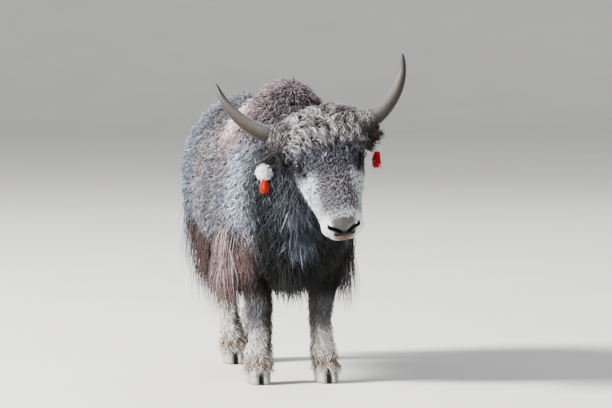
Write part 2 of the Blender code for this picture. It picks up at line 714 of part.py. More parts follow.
def ear_form(name, side, grow=0.0):
    """An ear: a round stem that opens into a leaf-shaped cup with a rolled edge."""
    _, tip, across, opens = ear_frame(side)
    outer = np.radians(np.linspace(-90, 90, 8))
    inner = np.radians(np.linspace(76, -76, 6))
    rings = []
    for t, half, deep, hollow in EAR_ROWS:
        w, d, h = half * EAR_WIDTH, deep * EAR_WIDTH, hollow * (grow == 0)
        thick = min(EAR_THICK, 0.5 * w, 0.5 * d)
        back_u, back_v = (w + grow) * np.sin(outer), -(d + grow) * np.cos(outer)
        cup_u, cup_v = (w - thick - grow) * np.sin(inner), -(d - thick - grow) * np.cos(inner)
        full_u, full_v = 0.92 * (w + grow) * np.sin(inner), (0.55 * d + grow) * np.cos(inner)
        u = np.concatenate([back_u, full_u + (cup_u - full_u) * h])
        v = np.concatenate([back_v, full_v + (cup_v - full_v) * h])
        rings.append(ear_line(side, t) + np.outer(u, across) + np.outer(v, opens))
    if grow:
        rings[0] = rings[0] - tip * grow * 4
        rings[-1] = rings[-1] + tip * grow * 4
    return stacked(name, np.array(rings))


# Face openings

def mouth_cutter():
    """The line of the mouth: a thin bent rod along the parting of the lips, from corner to corner."""
    path = [face_root(place, -degrees)[0] for place, degrees in MOUTH_LINE]
    path += [face_points([FACE[-1][0]], np.array([math.pi]))[0, 0] + HEAD[:3, 1] * 0.001]
    path += [face_root(place, degrees)[0] for place, degrees in reversed(MOUTH_LINE)]
    sizes = [MOUTH_SIZES[0]] + [MOUTH_SIZES[1]] * (len(path) - 2)
    return swept("mouth", path, sizes, sizes, HEAD[:3, 2], 6)


def nostril_cutter(side):
    """A comma-shaped hollow in the side of the muzzle's end, from its wide front to its tail."""
    path = []
    for place, degrees, out in NOSTRIL_LINE:
        here, away = face_root(place, degrees * side)
        path.append(here + away * out)
    return swept("nostril", path, NOSTRIL_SIZES, NOSTRIL_SIZES, HEAD[:3, 2], 7)


# Feet

def claw_form(name, side, inner, middle_x, middle_y):
    """One claw of a cloven hoof: flat sole, sloping wall, toe drawn in to the cleft."""
    way = -1.0 if inner else 1.0
    rings = []
    for z, wide, front, back in CLAW_WALL:
        ring = np.array(CLAW_OUTLINE)
        ring[:, 1] *= np.where(ring[:, 1] < 0, front, back)
        ring[:, 0] = CLAW_CLEFT + (ring[:, 0] - CLAW_CLEFT) * wide
        x = side * (middle_x + way * ring[:, 0])
        rings.append(np.stack([x, middle_y + ring[:, 1], np.full(len(ring), z)], axis=1))
    return stacked(name, np.array(rings))


def dewclaw_form(name, side, inner, rows, grow=0.0):
    """One of the two small horny buds behind the fetlock, pointing down and back."""
    x, y, z, _, _, behind = eased(rows, np.array([rows[-3, 0] - 0.1]))[0]
    way = -1.0 if inner else 1.0
    start = np.array([side * (x + way * 0.020), y + behind - 0.014, z + 0.004])
    tip = start + np.array([side * way * 0.004, 0.026, -0.026])
    path = [start + (tip - start) * t for t in (0, 0.35, 0.7, 1.0)]
    return swept(name, path, DEWCLAW_SIZES, DEWCLAW_SIZES, (0, 1, 1), 6, grow)


# Ear tassels

def tassel_cord(side, word, grow=0.0):
    """Cord with its knot on the ear, down through the ear's edge and the ball of wool."""
    top = ear_line(side, TASSEL_HOLE)
    low = top[2] - POM_DROP[word] - 0.002 - 2 * POM_RADIUS[word]
    knot = top + np.array([0, 0, 0.010])
    cord = swept("cord", [knot + (0, 0, 0.001), top, (top[0], top[1], low), (top[0], top[1], low - 0.012)],
                 [CORD_RADIUS] * 3, [CORD_RADIUS] * 3, (0, 1, 0), 6, grow)
    return cord, ball("knot", knot, (0, 0, 1), (KNOT_RADIUS + grow,) * 3, 8, 5)


def pom_form(name, side, word):
    """Ball of wool: a round core covered with small clumps."""
    radius = POM_RADIUS[word]
    top = ear_line(side, TASSEL_HOLE)
    centre = top - np.array([0, 0, POM_DROP[word] + radius])
    core = ball(name, centre, (0, 0, 1), (radius * 0.86,) * 3, 8, 6)
    tufts = []
    for i in range(POM_CLUMPS):
        height = 1 - 2 * (i + 0.5) / POM_CLUMPS
        turn = i * GOLDEN_ANGLE
        flat = math.sqrt(1 - height * height)
        out = np.array([flat * math.cos(turn), flat * math.sin(turn), height])
        tufts.append(clump(centre + out * radius * 0.66, out, radius * 0.55, radius * 0.38, 5, 3))
    return combined(core, "UNION", tufts)


def brush_form(name, side, word):
    """Knot, cord and the brush of yarn strands under the ball of wool."""
    top = ear_line(side, TASSEL_HOLE)
    start = top - np.array([0, 0, POM_DROP[word] + 2 * POM_RADIUS[word] + 0.001])
    cord, knot = tassel_cord(side, word)
    cord.name = name
    strands = [knot, ball("core", start - (0, 0, 0.006), (0, 0, 1), (0.0085,) * 3, 6, 4)]
    for i in range(4):
        angle = 2 * math.pi * (i + 0.5) / 4
        out = np.array([math.cos(angle), math.sin(angle), 0])
        root = start + out * 0.005 - (0, 0, 0.006)
        length = BRUSH_LENGTH[word] * draw.uniform(0.85, 1.05)
        path = [root + out * spread - (0, 0, share * length) for spread, share in STRAND_LINE]
        strands.append(swept("strand", path, *STRAND_SIZES, out, 4))
    return combined(cord, "UNION", strands)


# Whole body, then its parts

clear_scene()
workshop = new_collection("workshop")
yak = new_collection("yak")

grey_wool = finish_of("grey_wool", (0.28, 0.28, 0.31), 0.95)
dark_wool = finish_of("dark_wool", (0.05, 0.055, 0.07), 0.95)
horn_sheath = finish_of("horn_sheath", (0.20, 0.19, 0.19), 0.45)
hoof_horn = finish_of("hoof_horn", (0.50, 0.50, 0.46), 0.60)
eye_wet = finish_of("eye_wet", (0.015, 0.010, 0.008), 0.08)
white_wool = finish_of("white_wool", (0.85, 0.87, 0.88), 0.95)
orange_yarn = finish_of("orange_yarn", (0.52, 0.05, 0.01), 0.85)
red_yarn = finish_of("red_yarn", (0.31, 0.016, 0.014), 0.85)

whole = trunk_form()
pieces = [face_form(), dock_form()]
for word, side in left_and_right.items():
    pieces.append(leg_form(f"foreleg_{word}", side))
    pieces.append(leg_form(f"hind_leg_{word}", side))
combined(whole, "UNION", pieces)
combined(whole, "UNION", hanging_coat(FLANK_ROWS + ELBOW_ROWS) + tail_coat())
combined(whole, "UNION", curls())
lids = [lid for side in left_and_right.values() for lid in eyelids(side)]
combined(whole, "UNION", lids)
openings = [mouth_cutter()] + [nostril_cutter(side) for side in left_and_right.values()]
combined(whole, "DIFFERENCE", openings)

nodes = {}
for word, side in left_and_right.items():
    def leg_place(points, side=side):
        """Places an outline in side and height at a length along the body."""
        return np.stack([side * points[:, 1], points[:, 0], points[:, 2]], axis=1)

    fore, hind = f"foreleg_{word}", f"hind_leg_{word}"
    nodes[fore] = take(whole, fore, lambda grow: block(FORELEG_BLOCK, *FORELEG_SPAN, leg_place, grow))
    nodes[hind] = take(whole, hind, lambda grow: block(HIND_LEG_BLOCK, *HIND_LEG_SPAN, leg_place, grow))
nodes["tail"] = take(whole, "tail", lambda grow: block(TAIL_BLOCK, *TAIL_SPAN, np.array, grow))
nodes["head"] = take(whole, "head", lambda grow: block(HEAD_BLOCK, *NECK_SPAN, in_head, grow))
nodes["neck"] = take(whole, "neck", lambda grow: block(NECK_BLOCK, *NECK_SPAN, np.array, grow))
nodes["torso"] = whole
finishes = {name: grey_wool for name in nodes}

for word, side in left_and_right.items():
    combined(nodes["head"], "DIFFERENCE", [horn_form("cut", side, GAP), eye_form("cut", side, GAP)])
    combined(nodes["head"], "DIFFERENCE", [ear_form("cut", side, GAP)])
    nodes[f"horn_{word}"] = horn_form(f"horn_{word}", side)
    nodes[f"eye_{word}"] = eye_form(f"eye_{word}", side)
    ear = ear_form(f"ear_{word}", side)
    combined(ear, "DIFFERENCE", list(tassel_cord(side, word, GAP)))
    nodes[f"ear_{word}"] = ear
    pom = pom_form(f"tassel_wool_{word}", side, word)
    combined(pom, "DIFFERENCE", list(tassel_cord(side, word, GAP)))
    nodes[f"tassel_wool_{word}"] = pom
    nodes[f"tassel_yarn_{word}"] = brush_form(f"tassel_yarn_{word}", side, word)
    finishes[f"horn_{word}"] = horn_sheath
    finishes[f"eye_{word}"] = eye_wet
    finishes[f"ear_{word}"] = dark_wool
    finishes[f"tassel_wool_{word}"] = white_wool
    finishes[f"tassel_yarn_{word}"] = orange_yarn if word == "right" else red_yarn
    for end in ("foreleg", "hind_leg"):
        leg = nodes[f"{end}_{word}"]
        rows = leg_rows(f"{end}_{word}")
        for inner in (True, False):
            place = "inner" if inner else "outer"
            claw = f"claw_{end}_{word}_{place}"
            nodes[claw] = claw_form(claw, side, inner, rows[-1, 1], rows[-1, 2])
            finishes[claw] = hoof_horn
            bud = f"dewclaw_{end}_{word}_{place}"
            combined(leg, "DIFFERENCE", [dewclaw_form("cut", side, inner, rows, GAP)])
            nodes[bud] = dewclaw_form(bud, side, inner, rows)
            finishes[bud] = hoof_horn

lows, highs = [], []
for name, node in nodes.items():
    keep_largest(node)
    node.name = name
    node.data.name = name
    corners = np.array([tuple(v.co) for v in node.data.vertices])
    lows.append(corners.min(axis=0))
    highs.append(corners.max(axis=0))
centre = (np.min(lows, axis=0) + np.max(highs, axis=0)) / 2
for name, node in nodes.items():
    node.data.transform(Matrix.Translation((-centre[0], -centre[1], 0.0)))
    node.data.materials.clear()
    node.data.materials.append(finishes[name])
    for face in node.data.polygons:
        face.material_index = 0
        face.use_smooth = True
    workshop.objects.unlink(node)
    yak.objects.link(node)
bpy.data.collections.remove(workshop)
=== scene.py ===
import math

import bpy
import numpy as np
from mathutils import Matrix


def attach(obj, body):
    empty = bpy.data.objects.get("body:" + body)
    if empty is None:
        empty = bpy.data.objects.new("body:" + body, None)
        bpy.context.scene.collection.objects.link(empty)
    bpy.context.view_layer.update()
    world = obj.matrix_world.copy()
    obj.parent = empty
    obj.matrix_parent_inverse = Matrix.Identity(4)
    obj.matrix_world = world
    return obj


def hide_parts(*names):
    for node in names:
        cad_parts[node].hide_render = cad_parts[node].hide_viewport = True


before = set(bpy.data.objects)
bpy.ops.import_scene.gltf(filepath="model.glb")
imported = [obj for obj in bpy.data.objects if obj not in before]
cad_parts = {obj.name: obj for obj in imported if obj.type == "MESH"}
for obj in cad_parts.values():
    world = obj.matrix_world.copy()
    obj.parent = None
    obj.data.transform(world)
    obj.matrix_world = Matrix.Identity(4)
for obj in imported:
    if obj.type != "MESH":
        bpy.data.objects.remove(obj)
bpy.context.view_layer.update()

# Floor, light and camera
# A pale matt studio floor that sweeps up far off into its own backdrop, and a pale room, with one big soft
# light high on the left, a weak one in front and one behind. The camera stands far off and a little high.
CAMERA_PLACE = (-2.962, -13.786, 1.380)
CAMERA_TURN = (math.radians(87.08), 0.0, math.radians(-12.5))
CAMERA_LENS = 215.1
FLOOR_FLAT, FLOOR_SWEEP = 30.0, 16.0
FLOOR_SIDES, FLAT_RINGS, SWEEP_RINGS = 96, 8, 24
ROOM_COLOUR = (0.92, 0.93, 0.94, 1.0)
ROOM_STRENGTH = 0.62
# Each light: place, the point it looks at, width, watts and colour.
LIGHTS = {
    "key": ((-13.3, -0.6, 8.5), (0.0, 0.0, 0.6), 4.0, 15000.0, (1.0, 0.985, 0.96)),
    "fill": ((6.0, -14.0, 5.0), (0.0, -0.2, 0.6), 7.0, 500.0, (0.96, 0.98, 1.0)),
    "back": ((4.0, 10.0, 9.0), (0.0, 0.2, 0.8), 5.0, 600.0, (0.97, 0.98, 1.0)),
}


def light_of(name, place, target, width, watts, colour):
    """A square soft light at a place, turned to look at its target."""
    lamp = bpy.data.lights.new(name, "AREA")
    lamp.size, lamp.energy, lamp.color = width, watts, colour
    made = bpy.data.objects.new(name, lamp)
    bpy.context.scene.collection.objects.link(made)
    look = np.subtract(target, place)
    level = math.hypot(look[0], look[1])
    made.location = place
    made.rotation_euler = (math.atan2(level, -look[2]), 0.0, math.atan2(-look[0], look[1]))


for light_name, light_facts in LIGHTS.items():
    light_of(light_name, *light_facts)

room = bpy.data.worlds.new("pale_room")
room.use_nodes = True
room.node_tree.nodes["Background"].inputs["Color"].default_value = ROOM_COLOUR
room.node_tree.nodes["Background"].inputs["Strength"].default_value = ROOM_STRENGTH
bpy.context.scene.world = room

lens = bpy.data.cameras.new("photo_view")
lens.lens, lens.sensor_width, lens.sensor_fit = CAMERA_LENS, 36.0, "HORIZONTAL"
lens.clip_end = 100.0
camera = bpy.data.objects.new("photo_view", lens)
camera.location, camera.rotation_euler = CAMERA_PLACE, CAMERA_TURN
bpy.context.scene.collection.objects.link(camera)
bpy.context.scene.camera = camera


def new_material(name):
    """A Principled material, with a way to add nodes and to join them by (node, socket) pairs."""
    made = bpy.data.materials.new(name)
    made.use_nodes = True
    tree = made.node_tree
    shader = tree.nodes["Principled BSDF"]

    def node(kind, **values):
        """A node with its settings, where a name in capitals is a socket."""
        new = tree.nodes.new("ShaderNode" + kind)
        for key, value in values.items():
            if key[0].isupper():
                new.inputs[key.replace("_", " ")].default_value = value
            else:
                setattr(new, key, value)
        return new

    def join(start, out_name, end, in_name):
        """A link from one node's socket to another's, each by its name or number."""
        tree.links.new(start.outputs[out_name], end.inputs[in_name])

    return made, shader, node, join


def noise_over(node, join, stretch=None, **values):
    """Noise over the mesh's own coordinates, stretched by a scale for each way."""
    where, noise = node("TexCoord"), node("TexNoise", **values)
    if stretch is None:
        join(where, "Object", noise, "Vector")
        return noise
    stretched = node("Mapping", Scale=stretch)
    join(where, "Object", stretched, "Vector")
    join(stretched, "Vector", noise, "Vector")
    return noise


def ramp(shader, node, join, noise, low, high):
    """Two colours shaded into each other by noise, each with the place where it is full."""
    shades = node("ValToRGB")
    for element, (place, colour) in zip(shades.color_ramp.elements, (low, high)):
        element.position, element.color = place, (*colour, 1.0)
    join(noise, "Fac", shades, "Fac")
    join(shades, "Color", shader, "Base Color")


def floor_form():
    """A round floor: flat out to its reach, then up along a quarter circle whose radius is the sweep."""
    rise = np.linspace(0.0, np.pi / 2, SWEEP_RINGS)[1:]
    level = np.linspace(FLOOR_FLAT / FLAT_RINGS, FLOOR_FLAT, FLAT_RINGS)
    radius = np.concatenate([level, FLOOR_FLAT + FLOOR_SWEEP * np.sin(rise)])
    height = np.concatenate([np.zeros(FLAT_RINGS), FLOOR_SWEEP * (1 - np.cos(rise))])
    turn = np.arange(FLOOR_SIDES) * 2 * np.pi / FLOOR_SIDES
    rings = np.stack([np.outer(radius, np.cos(turn)), np.outer(radius, np.sin(turn)),
                      np.repeat(height[:, None], FLOOR_SIDES, axis=1)], axis=-1)
    i, j = np.meshgrid(np.arange(len(radius) - 1), np.arange(FLOOR_SIDES), indexing="ij")
    i, j = i.ravel() * FLOOR_SIDES, j.ravel()
    k = (j + 1) % FLOOR_SIDES
    walls = np.column_stack([i + j, i + FLOOR_SIDES + j, i + FLOOR_SIDES + k, i + k])
    return rings.reshape(-1, 3), [list(range(FLOOR_SIDES))] + walls.tolist()


floor_mesh = bpy.data.meshes.new("floor")
floor_points, floor_faces = floor_form()
floor_mesh.from_pydata(floor_points, [], floor_faces)
floor_mesh.polygons.foreach_set("use_smooth", np.ones(len(floor_faces), bool))
floor = bpy.data.objects.new("floor", floor_mesh)
bpy.context.scene.collection.objects.link(floor)
floor_paint, shader, node, join = new_material("floor_paint")
mottle = noise_over(node, join, Scale=1.3, Detail=6.0)
ramp(shader, node, join, mottle, (0.0, (0.60, 0.595, 0.58)), (1.0, (0.68, 0.675, 0.66)))
shader.inputs["Roughness"].default_value = 0.85
floor_mesh.materials.append(floor_paint)


# Trunk, under its wool
# The rump, barrel, hump and neck of the living animal, in rings from the tail to the poll. The skin lies
# inside the coat's outline by the depth of the wool, and the hollow of the flank is pressed into it.

# Place in the stack, highest point (y, z), lowest point (y, z), half width, how high up the ring is widest,
# how square its upper and lower halves are, and its shift to the left.
TRUNK = [
    (0.0, 0.598, 0.860, 0.592, 0.720, 0.060, 0.50, 2.0, 2.0, 0.000),
    (0.5, 0.585, 0.940, 0.585, 0.610, 0.135, 0.52, 2.0, 2.0, 0.000),
    (1.0, 0.535, 1.010, 0.550, 0.520, 0.186, 0.55, 2.1, 2.1, 0.000),
    (2.0, 0.410, 1.060, 0.430, 0.455, 0.228, 0.55, 2.2, 2.2, 0.000),
    (3.0, 0.215, 1.074, 0.230, 0.415, 0.252, 0.50, 2.2, 2.2, 0.000),
    (4.0, 0.020, 1.064, 0.020, 0.392, 0.276, 0.46, 2.1, 2.2, 0.000),
    (5.0, -0.120, 1.068, -0.140, 0.382, 0.284, 0.45, 1.9, 2.2, 0.000),
    (6.0, -0.225, 1.104, -0.245, 0.380, 0.264, 0.45, 1.8, 2.2, 0.000),
    (7.0, -0.325, 1.142, -0.350, 0.382, 0.246, 0.45, 1.7, 2.2, 0.000),
    (8.0, -0.415, 1.138, -0.455, 0.400, 0.230, 0.46, 1.7, 2.1, 0.002),
    (9.0, -0.490, 1.085, -0.545, 0.455, 0.202, 0.46, 1.7, 2.0, 0.014),
    (10.0, -0.550, 1.030, -0.605, 0.545, 0.158, 0.44, 1.8, 2.0, 0.030),
    (11.0, -0.600, 1.005, -0.645, 0.630, 0.134, 0.46, 1.9, 2.0, 0.046),
    (12.0, -0.640, 0.985, -0.665, 0.710, 0.120, 0.50, 2.0, 2.0, 0.058),
    (12.7, -0.670, 0.945, -0.685, 0.780, 0.100, 0.50, 2.0, 2.0, 0.064),
]
# Swellings and hollows of the flanks: place (y, z), reach (y, z) and height.
HAUNCH = (0.400, 0.700, 0.150, 0.210, 0.026)
SHOULDER = (-0.375, 0.590, 0.125, 0.220, 0.020)
FLANK_HOLLOW = (0.130, 0.830, 0.038, 0.170, -0.016)
# Depth of the wool over the skin, and the small step by which the ways over a surface are measured.
WOOL_DEPTH, STEP = 0.009, 0.004


def eased(rows, places):
    """The table's columns at the given places, by a monotone cubic: a cubic between each pair of rows, whose
    slope at a row is the harmonic mean of the slopes on its two sides, or none at a peak."""
    rows = np.array(rows, float)
    at, values = rows[:, 0], rows[:, 1:]
    step = np.diff(at)[:, None]
    slope = np.diff(values, axis=0) / step
    before, after = slope[:-1], slope[1:]
    same = before * after > 0
    inner = np.where(same, 2 * before * after / np.where(same, before + after, 1.0), 0.0)
    tangent = np.vstack([slope[:1], inner, slope[-1:]])
    i = np.clip(np.searchsorted(at, places, side="right") - 1, 0, len(at) - 2)
    t = ((places - at[i]) / step[i, 0])[:, None]
    leaving, arriving = tangent[i] * step[i], tangent[i + 1] * step[i]
    return (
        (1 + 2 * t) * (1 - t) ** 2 * values[i] + t * (1 - t) ** 2 * leaving
        + t * t * (3 - 2 * t) * values[i + 1] - t * t * (1 - t) * arriving
    )


def ring_points(rows, places, angles):
    """Points (side, along, height) on a stack of rings. A ring is two half superellipses, upper and lower,
    which meet where it is widest. Angles start at the top and run to the left."""
    cells = eased(rows, places)
    top, low = cells[:, 0:2], cells[:, 2:4]
    half_width, widest, square_up, square_low, shift = cells[:, 4:].T
    c, s = np.cos(angles), np.sin(angles)
    power = 2 / np.where(c >= 0, square_up, square_low)
    middle = low + widest[:, None] * (top - low)
    reach = np.where((c >= 0)[:, None], top - middle, low - middle)
    side = shift + half_width * np.sign(s) * np.abs(s) ** power
    return np.column_stack([side, middle + reach * (np.abs(c) ** power)[:, None]])


def bell(distance, reach):
    """A smooth bump: one at the middle, about a third at its reach."""
    return np.exp(-((distance / reach) ** 2))


def trunk_outline(places, angles):
    """The outline of the trunk's coat: its rings, swollen sideways at the haunch and the shoulder."""
    points = ring_points(TRUNK, places, angles)
    for at_y, at_z, reach_y, reach_z, height in (HAUNCH, SHOULDER, FLANK_HOLLOW):
        share = bell(points[:, 1] - at_y, reach_y) * bell(points[:, 2] - at_z, reach_z)
        points[:, 0] += height * share * np.sin(angles)
    return points


def unit(vectors):
    """Vectors of length one."""
    return vectors / np.maximum(np.linalg.norm(vectors, axis=-1, keepdims=True), 1e-9)


def ways(surface, places, angles, hand=1.0):
    """The ways along the places, round the ring and outwards, from small steps over the surface."""
    along = surface(places + STEP, angles) - surface(places - STEP, angles)
    round_it = surface(places, angles + STEP) - surface(places, angles - STEP)
    return along, round_it, unit(np.cross(along, round_it)) * hand


def trunk_skin(places, angles):
    """The trunk's skin: its outline, drawn in by the depth of the wool."""
    out = ways(trunk_outline, places, angles)[2]
    return trunk_outline(places, angles) - out * WOOL_DEPTH


def grid_of(surface, places, angles):
    """Rings of a surface over every place and angle."""
    p, a = np.meshgrid(places, angles, indexing="ij")
    return surface(p.ravel(), a.ravel()).reshape(len(places), len(angles), 3)


def around(count):
    """Angles all the way round."""
    return np.arange(count) * 2 * np.pi / count


def closed_loft(rings):
    """Points and triangles over rings of equal count, each end closed by a fan to its middle."""
    count, sides = rings.shape[:2]
    points = np.vstack([rings.reshape(-1, 3), rings[0].mean(axis=0), rings[-1].mean(axis=0)])
    i, j = np.meshgrid(np.arange(count - 1), np.arange(sides), indexing="ij")
    i, j = i.ravel() * sides, j.ravel()
    k = (j + 1) % sides
    first = np.column_stack([i + j, i + k, i + sides + k])
    second = np.column_stack([i + j, i + sides + k, i + sides + j])
    j = np.arange(sides)
    k = (j + 1) % sides
    start, end = count * sides, count * sides + 1
    near = np.column_stack([np.full(sides, start), k, j])
    far = np.column_stack([np.full(sides, end), (count - 1) * sides + j, (count - 1) * sides + k])
    return points, np.vstack([first, second, near, far])


# The animal's own origin is between its feet. Its middle, with horns and tail, stands at the frame's origin.
MIDDLE = np.array([0.03695633, -0.11373737, 0.0])


def mesh_piece(name, points, triangles):
    """A smooth closed mesh from arrays, moved into the frame, with its faces outwards: they are turned
    round when the volume they enclose, a sum of one sixth of a . (b x c), is negative."""
    points = points - MIDDLE
    a, b, c = (points[triangles[:, i]] - points.mean(axis=0) for i in range(3))
    if np.einsum("ij,ij->", a, np.cross(b, c)) < 0:
        triangles = triangles[:, ::-1]
    mesh = bpy.data.meshes.new(name)
    mesh.vertices.add(len(points))
    mesh.vertices.foreach_set("co", np.ascontiguousarray(points, np.float32).ravel())
    mesh.loops.add(triangles.size)
    mesh.loops.foreach_set("vertex_index", np.ascontiguousarray(triangles, np.int32).ravel())
    mesh.polygons.add(len(triangles))
    mesh.polygons.foreach_set("loop_start", np.arange(0, triangles.size, 3, dtype=np.int32))
    mesh.polygons.foreach_set("use_smooth", np.ones(len(triangles), bool))
    mesh.update(calc_edges=True)
    made = bpy.data.objects.new(name, mesh)
    bpy.context.scene.collection.objects.link(made)
    return made


def joined(forms):
    """Points and triangles of several forms as one."""
    starts = np.cumsum([0] + [len(points) for points, _ in forms[:-1]])
    return (np.vstack([points for points, _ in forms]),
            np.vstack([triangles + start for (_, triangles), start in zip(forms, starts)]))


trunk_form = closed_loft(grid_of(trunk_skin, np.linspace(0.0, TRUNK[-1][0], 150), around(120)))


# Legs and dock, under their hair
# Four legs in level rings from inside the body down to the hoof, with knee, hock and fetlock, and the dock
# of the tail. Their hair is short, so the skin lies close under the outline.

# From the top down: place, middle (x, y), height, half width, reach forward and reach back.
FORELEG = [
    (0.0, 0.150, -0.370, 0.700, 0.060, 0.090, 0.090),
    (1.0, 0.158, -0.365, 0.600, 0.092, 0.118, 0.118),
    (2.0, 0.154, -0.372, 0.500, 0.090, 0.108, 0.112),
    (3.0, 0.137, -0.392, 0.410, 0.072, 0.078, 0.082),
    (4.0, 0.120, -0.412, 0.330, 0.055, 0.056, 0.056),
    (5.0, 0.114, -0.418, 0.285, 0.050, 0.053, 0.048),
    (6.0, 0.110, -0.420, 0.230, 0.043, 0.044, 0.044),
    (7.0, 0.114, -0.422, 0.165, 0.044, 0.043, 0.046),
    (8.0, 0.121, -0.426, 0.115, 0.053, 0.048, 0.056),
    (9.0, 0.125, -0.436, 0.080, 0.050, 0.050, 0.052),
    (10.0, 0.126, -0.446, 0.056, 0.049, 0.052, 0.050),
]
HIND_LEG = [
    (0.0, 0.140, 0.370, 0.780, 0.070, 0.120, 0.130),
    (1.0, 0.150, 0.365, 0.690, 0.100, 0.165, 0.170),
    (2.0, 0.152, 0.370, 0.600, 0.098, 0.150, 0.165),
    (3.0, 0.140, 0.388, 0.510, 0.080, 0.118, 0.122),
    (4.0, 0.120, 0.425, 0.425, 0.060, 0.084, 0.074),
    (5.0, 0.100, 0.462, 0.350, 0.049, 0.064, 0.050),
    (6.0, 0.090, 0.465, 0.300, 0.046, 0.055, 0.046),
    (7.0, 0.082, 0.452, 0.230, 0.041, 0.043, 0.043),
    (8.0, 0.076, 0.440, 0.165, 0.043, 0.043, 0.045),
    (9.0, 0.072, 0.430, 0.115, 0.051, 0.048, 0.055),
    (10.0, 0.070, 0.418, 0.080, 0.050, 0.050, 0.052),
    (11.0, 0.070, 0.408, 0.056, 0.050, 0.052, 0.050),
]
# How far each foot stands out and back from the rows' own place, eased in below the joint.
FOOT_SHIFT = {
    "foreleg_left": (0.010, 0.000),
    "foreleg_right": (0.000, 0.000),
    "hind_leg_left": (-0.034, 0.080),
    "hind_leg_right": (-0.014, -0.024),
}
JOINT_HEIGHT, PASTERN_HEIGHT = 0.60, 0.12
LEG_HAIR_DEPTH = 0.007
# The dock's middle line (y, z), half width and half depth.
DOCK = [
    (0.0, 0.540, 0.965, 0.042, 0.032), (1.0, 0.600, 0.960, 0.044, 0.030), (2.0, 0.638, 0.925, 0.040, 0.028),
    (3.0, 0.652, 0.860, 0.034, 0.024), (4.0, 0.655, 0.760, 0.028, 0.020), (5.0, 0.655, 0.660, 0.024, 0.018),
    (6.0, 0.652, 0.560, 0.020, 0.016), (7.0, 0.650, 0.470, 0.012, 0.010),
]
sides_of = {"left": 1.0, "right": -1.0}


def rising(values, low, high):
    """A smooth rise from nought at low to one at high."""
    t = np.clip((values - low) / (high - low), 0, 1)
    return t * t * (3 - 2 * t)


def leg_table(name):
    """A leg's rows with its foot set where it stands."""
    rows = np.array(FORELEG if name.startswith("fore") else HIND_LEG, float)
    share = 1 - rising(rows[:, 3], PASTERN_HEIGHT, JOINT_HEIGHT)
    out, back = FOOT_SHIFT[name]
    rows[:, 1] += out * share
    rows[:, 2] += back * share
    return rows


def leg_outline(name, side):
    """The outline of a leg's coat: level rings, each a half ellipse in front and another behind."""
    rows = leg_table(name)

    def outline(places, angles):
        """Points of the outline, left or right."""
        x, y, z, half_width, ahead, behind = eased(rows, places).T
        depth = np.where(np.cos(angles) >= 0, ahead, behind)
        return np.column_stack([side * (x + half_width * np.sin(angles)), y - depth * np.cos(angles), z])

    return outline


def drawn_in(outline, depth, hand):
    """A surface that lies inside an outline by a depth."""
    return lambda places, angles: outline(places, angles) - ways(outline, places, angles, hand)[2] * depth


def dock_outline(places, angles):
    """The dock: ellipses across a line that comes out of the rump and hangs."""
    y, z, wide, deep = eased(DOCK, places).T
    ahead_y, ahead_z = (eased(DOCK, places + STEP) - eased(DOCK, places - STEP))[:, :2].T
    size = np.hypot(ahead_y, ahead_z)
    lean_y, lean_z = -ahead_z / size, ahead_y / size
    out = deep * np.cos(angles)
    return np.column_stack([wide * np.sin(angles), y + lean_y * out, z + lean_z * out])


leg_forms = []
for word, side in sides_of.items():
    for name in (f"foreleg_{word}", f"hind_leg_{word}"):
        skin_of_leg = drawn_in(leg_outline(name, side), LEG_HAIR_DEPTH, side)
        last = leg_table(name)[-1, 0]
        leg_forms.append(closed_loft(grid_of(skin_of_leg, np.linspace(0.0, last, 90), around(48))))
dock_form = closed_loft(grid_of(dock_outline, np.linspace(0.0, DOCK[-1][0], 50), around(24)))


# Head, under its hair
# The long face with its brows, the hollow before each eye, the lids, comma-shaped nostrils, the line of the
# mouth and the lips, with a sleeve of skin round each horn's root. Its hair is short, and deeper at the poll.

# The head's own frame: the middle of the poll, the way it faces, its tilt and the slope of the face.
POLL = np.array([0.060, -0.672, 0.987])
HEAD_TURN, HEAD_TILT, FACE_SLOPE = math.radians(-5.5), math.radians(9.0), math.radians(57.0)
# From the nape to the muzzle: place, forehead line (along, out), jaw line (along, out), half width, widest
# height, squareness of the upper and lower halves, no shift.
FACE = [
    (0.0, -0.060, -0.030, -0.030, -0.120, 0.085, 0.50, 2.0, 2.0, 0.0),
    (1.0, -0.048, 0.030, -0.005, -0.168, 0.126, 0.50, 2.1, 2.0, 0.0),
    (2.0, -0.012, 0.066, 0.025, -0.182, 0.152, 0.52, 2.3, 2.0, 0.0),
    (3.0, 0.038, 0.080, 0.068, -0.182, 0.160, 0.55, 2.4, 2.0, 0.0),
    (4.0, 0.092, 0.076, 0.118, -0.176, 0.150, 0.58, 2.4, 2.0, 0.0),
    (5.0, 0.148, 0.064, 0.170, -0.164, 0.134, 0.58, 2.4, 2.0, 0.0),
    (6.0, 0.205, 0.055, 0.225, -0.146, 0.126, 0.55, 2.3, 2.0, 0.0),
    (7.0, 0.265, 0.050, 0.282, -0.120, 0.109, 0.52, 2.2, 2.0, 0.0),
    (8.0, 0.325, 0.047, 0.335, -0.101, 0.089, 0.50, 2.2, 2.1, 0.0),
    (9.0, 0.378, 0.045, 0.386, -0.093, 0.080, 0.50, 2.3, 2.3, 0.0),
    (10.0, 0.421, 0.037, 0.425, -0.089, 0.076, 0.52, 2.4, 2.4, 0.0),
    (11.0, 0.454, 0.018, 0.452, -0.076, 0.058, 0.54, 2.3, 2.3, 0.0),
    (11.6, 0.468, -0.010, 0.464, -0.054, 0.030, 0.54, 2.2, 2.2, 0.0),
]
# Depth of hair over the face, by place in FACE.
FACE_HAIR = (
    (0.0, 0.016), (2.0, 0.012), (4.0, 0.009), (5.5, 0.005), (7.5, 0.004), (9.5, 0.003), (11.6, 0.0015),
)
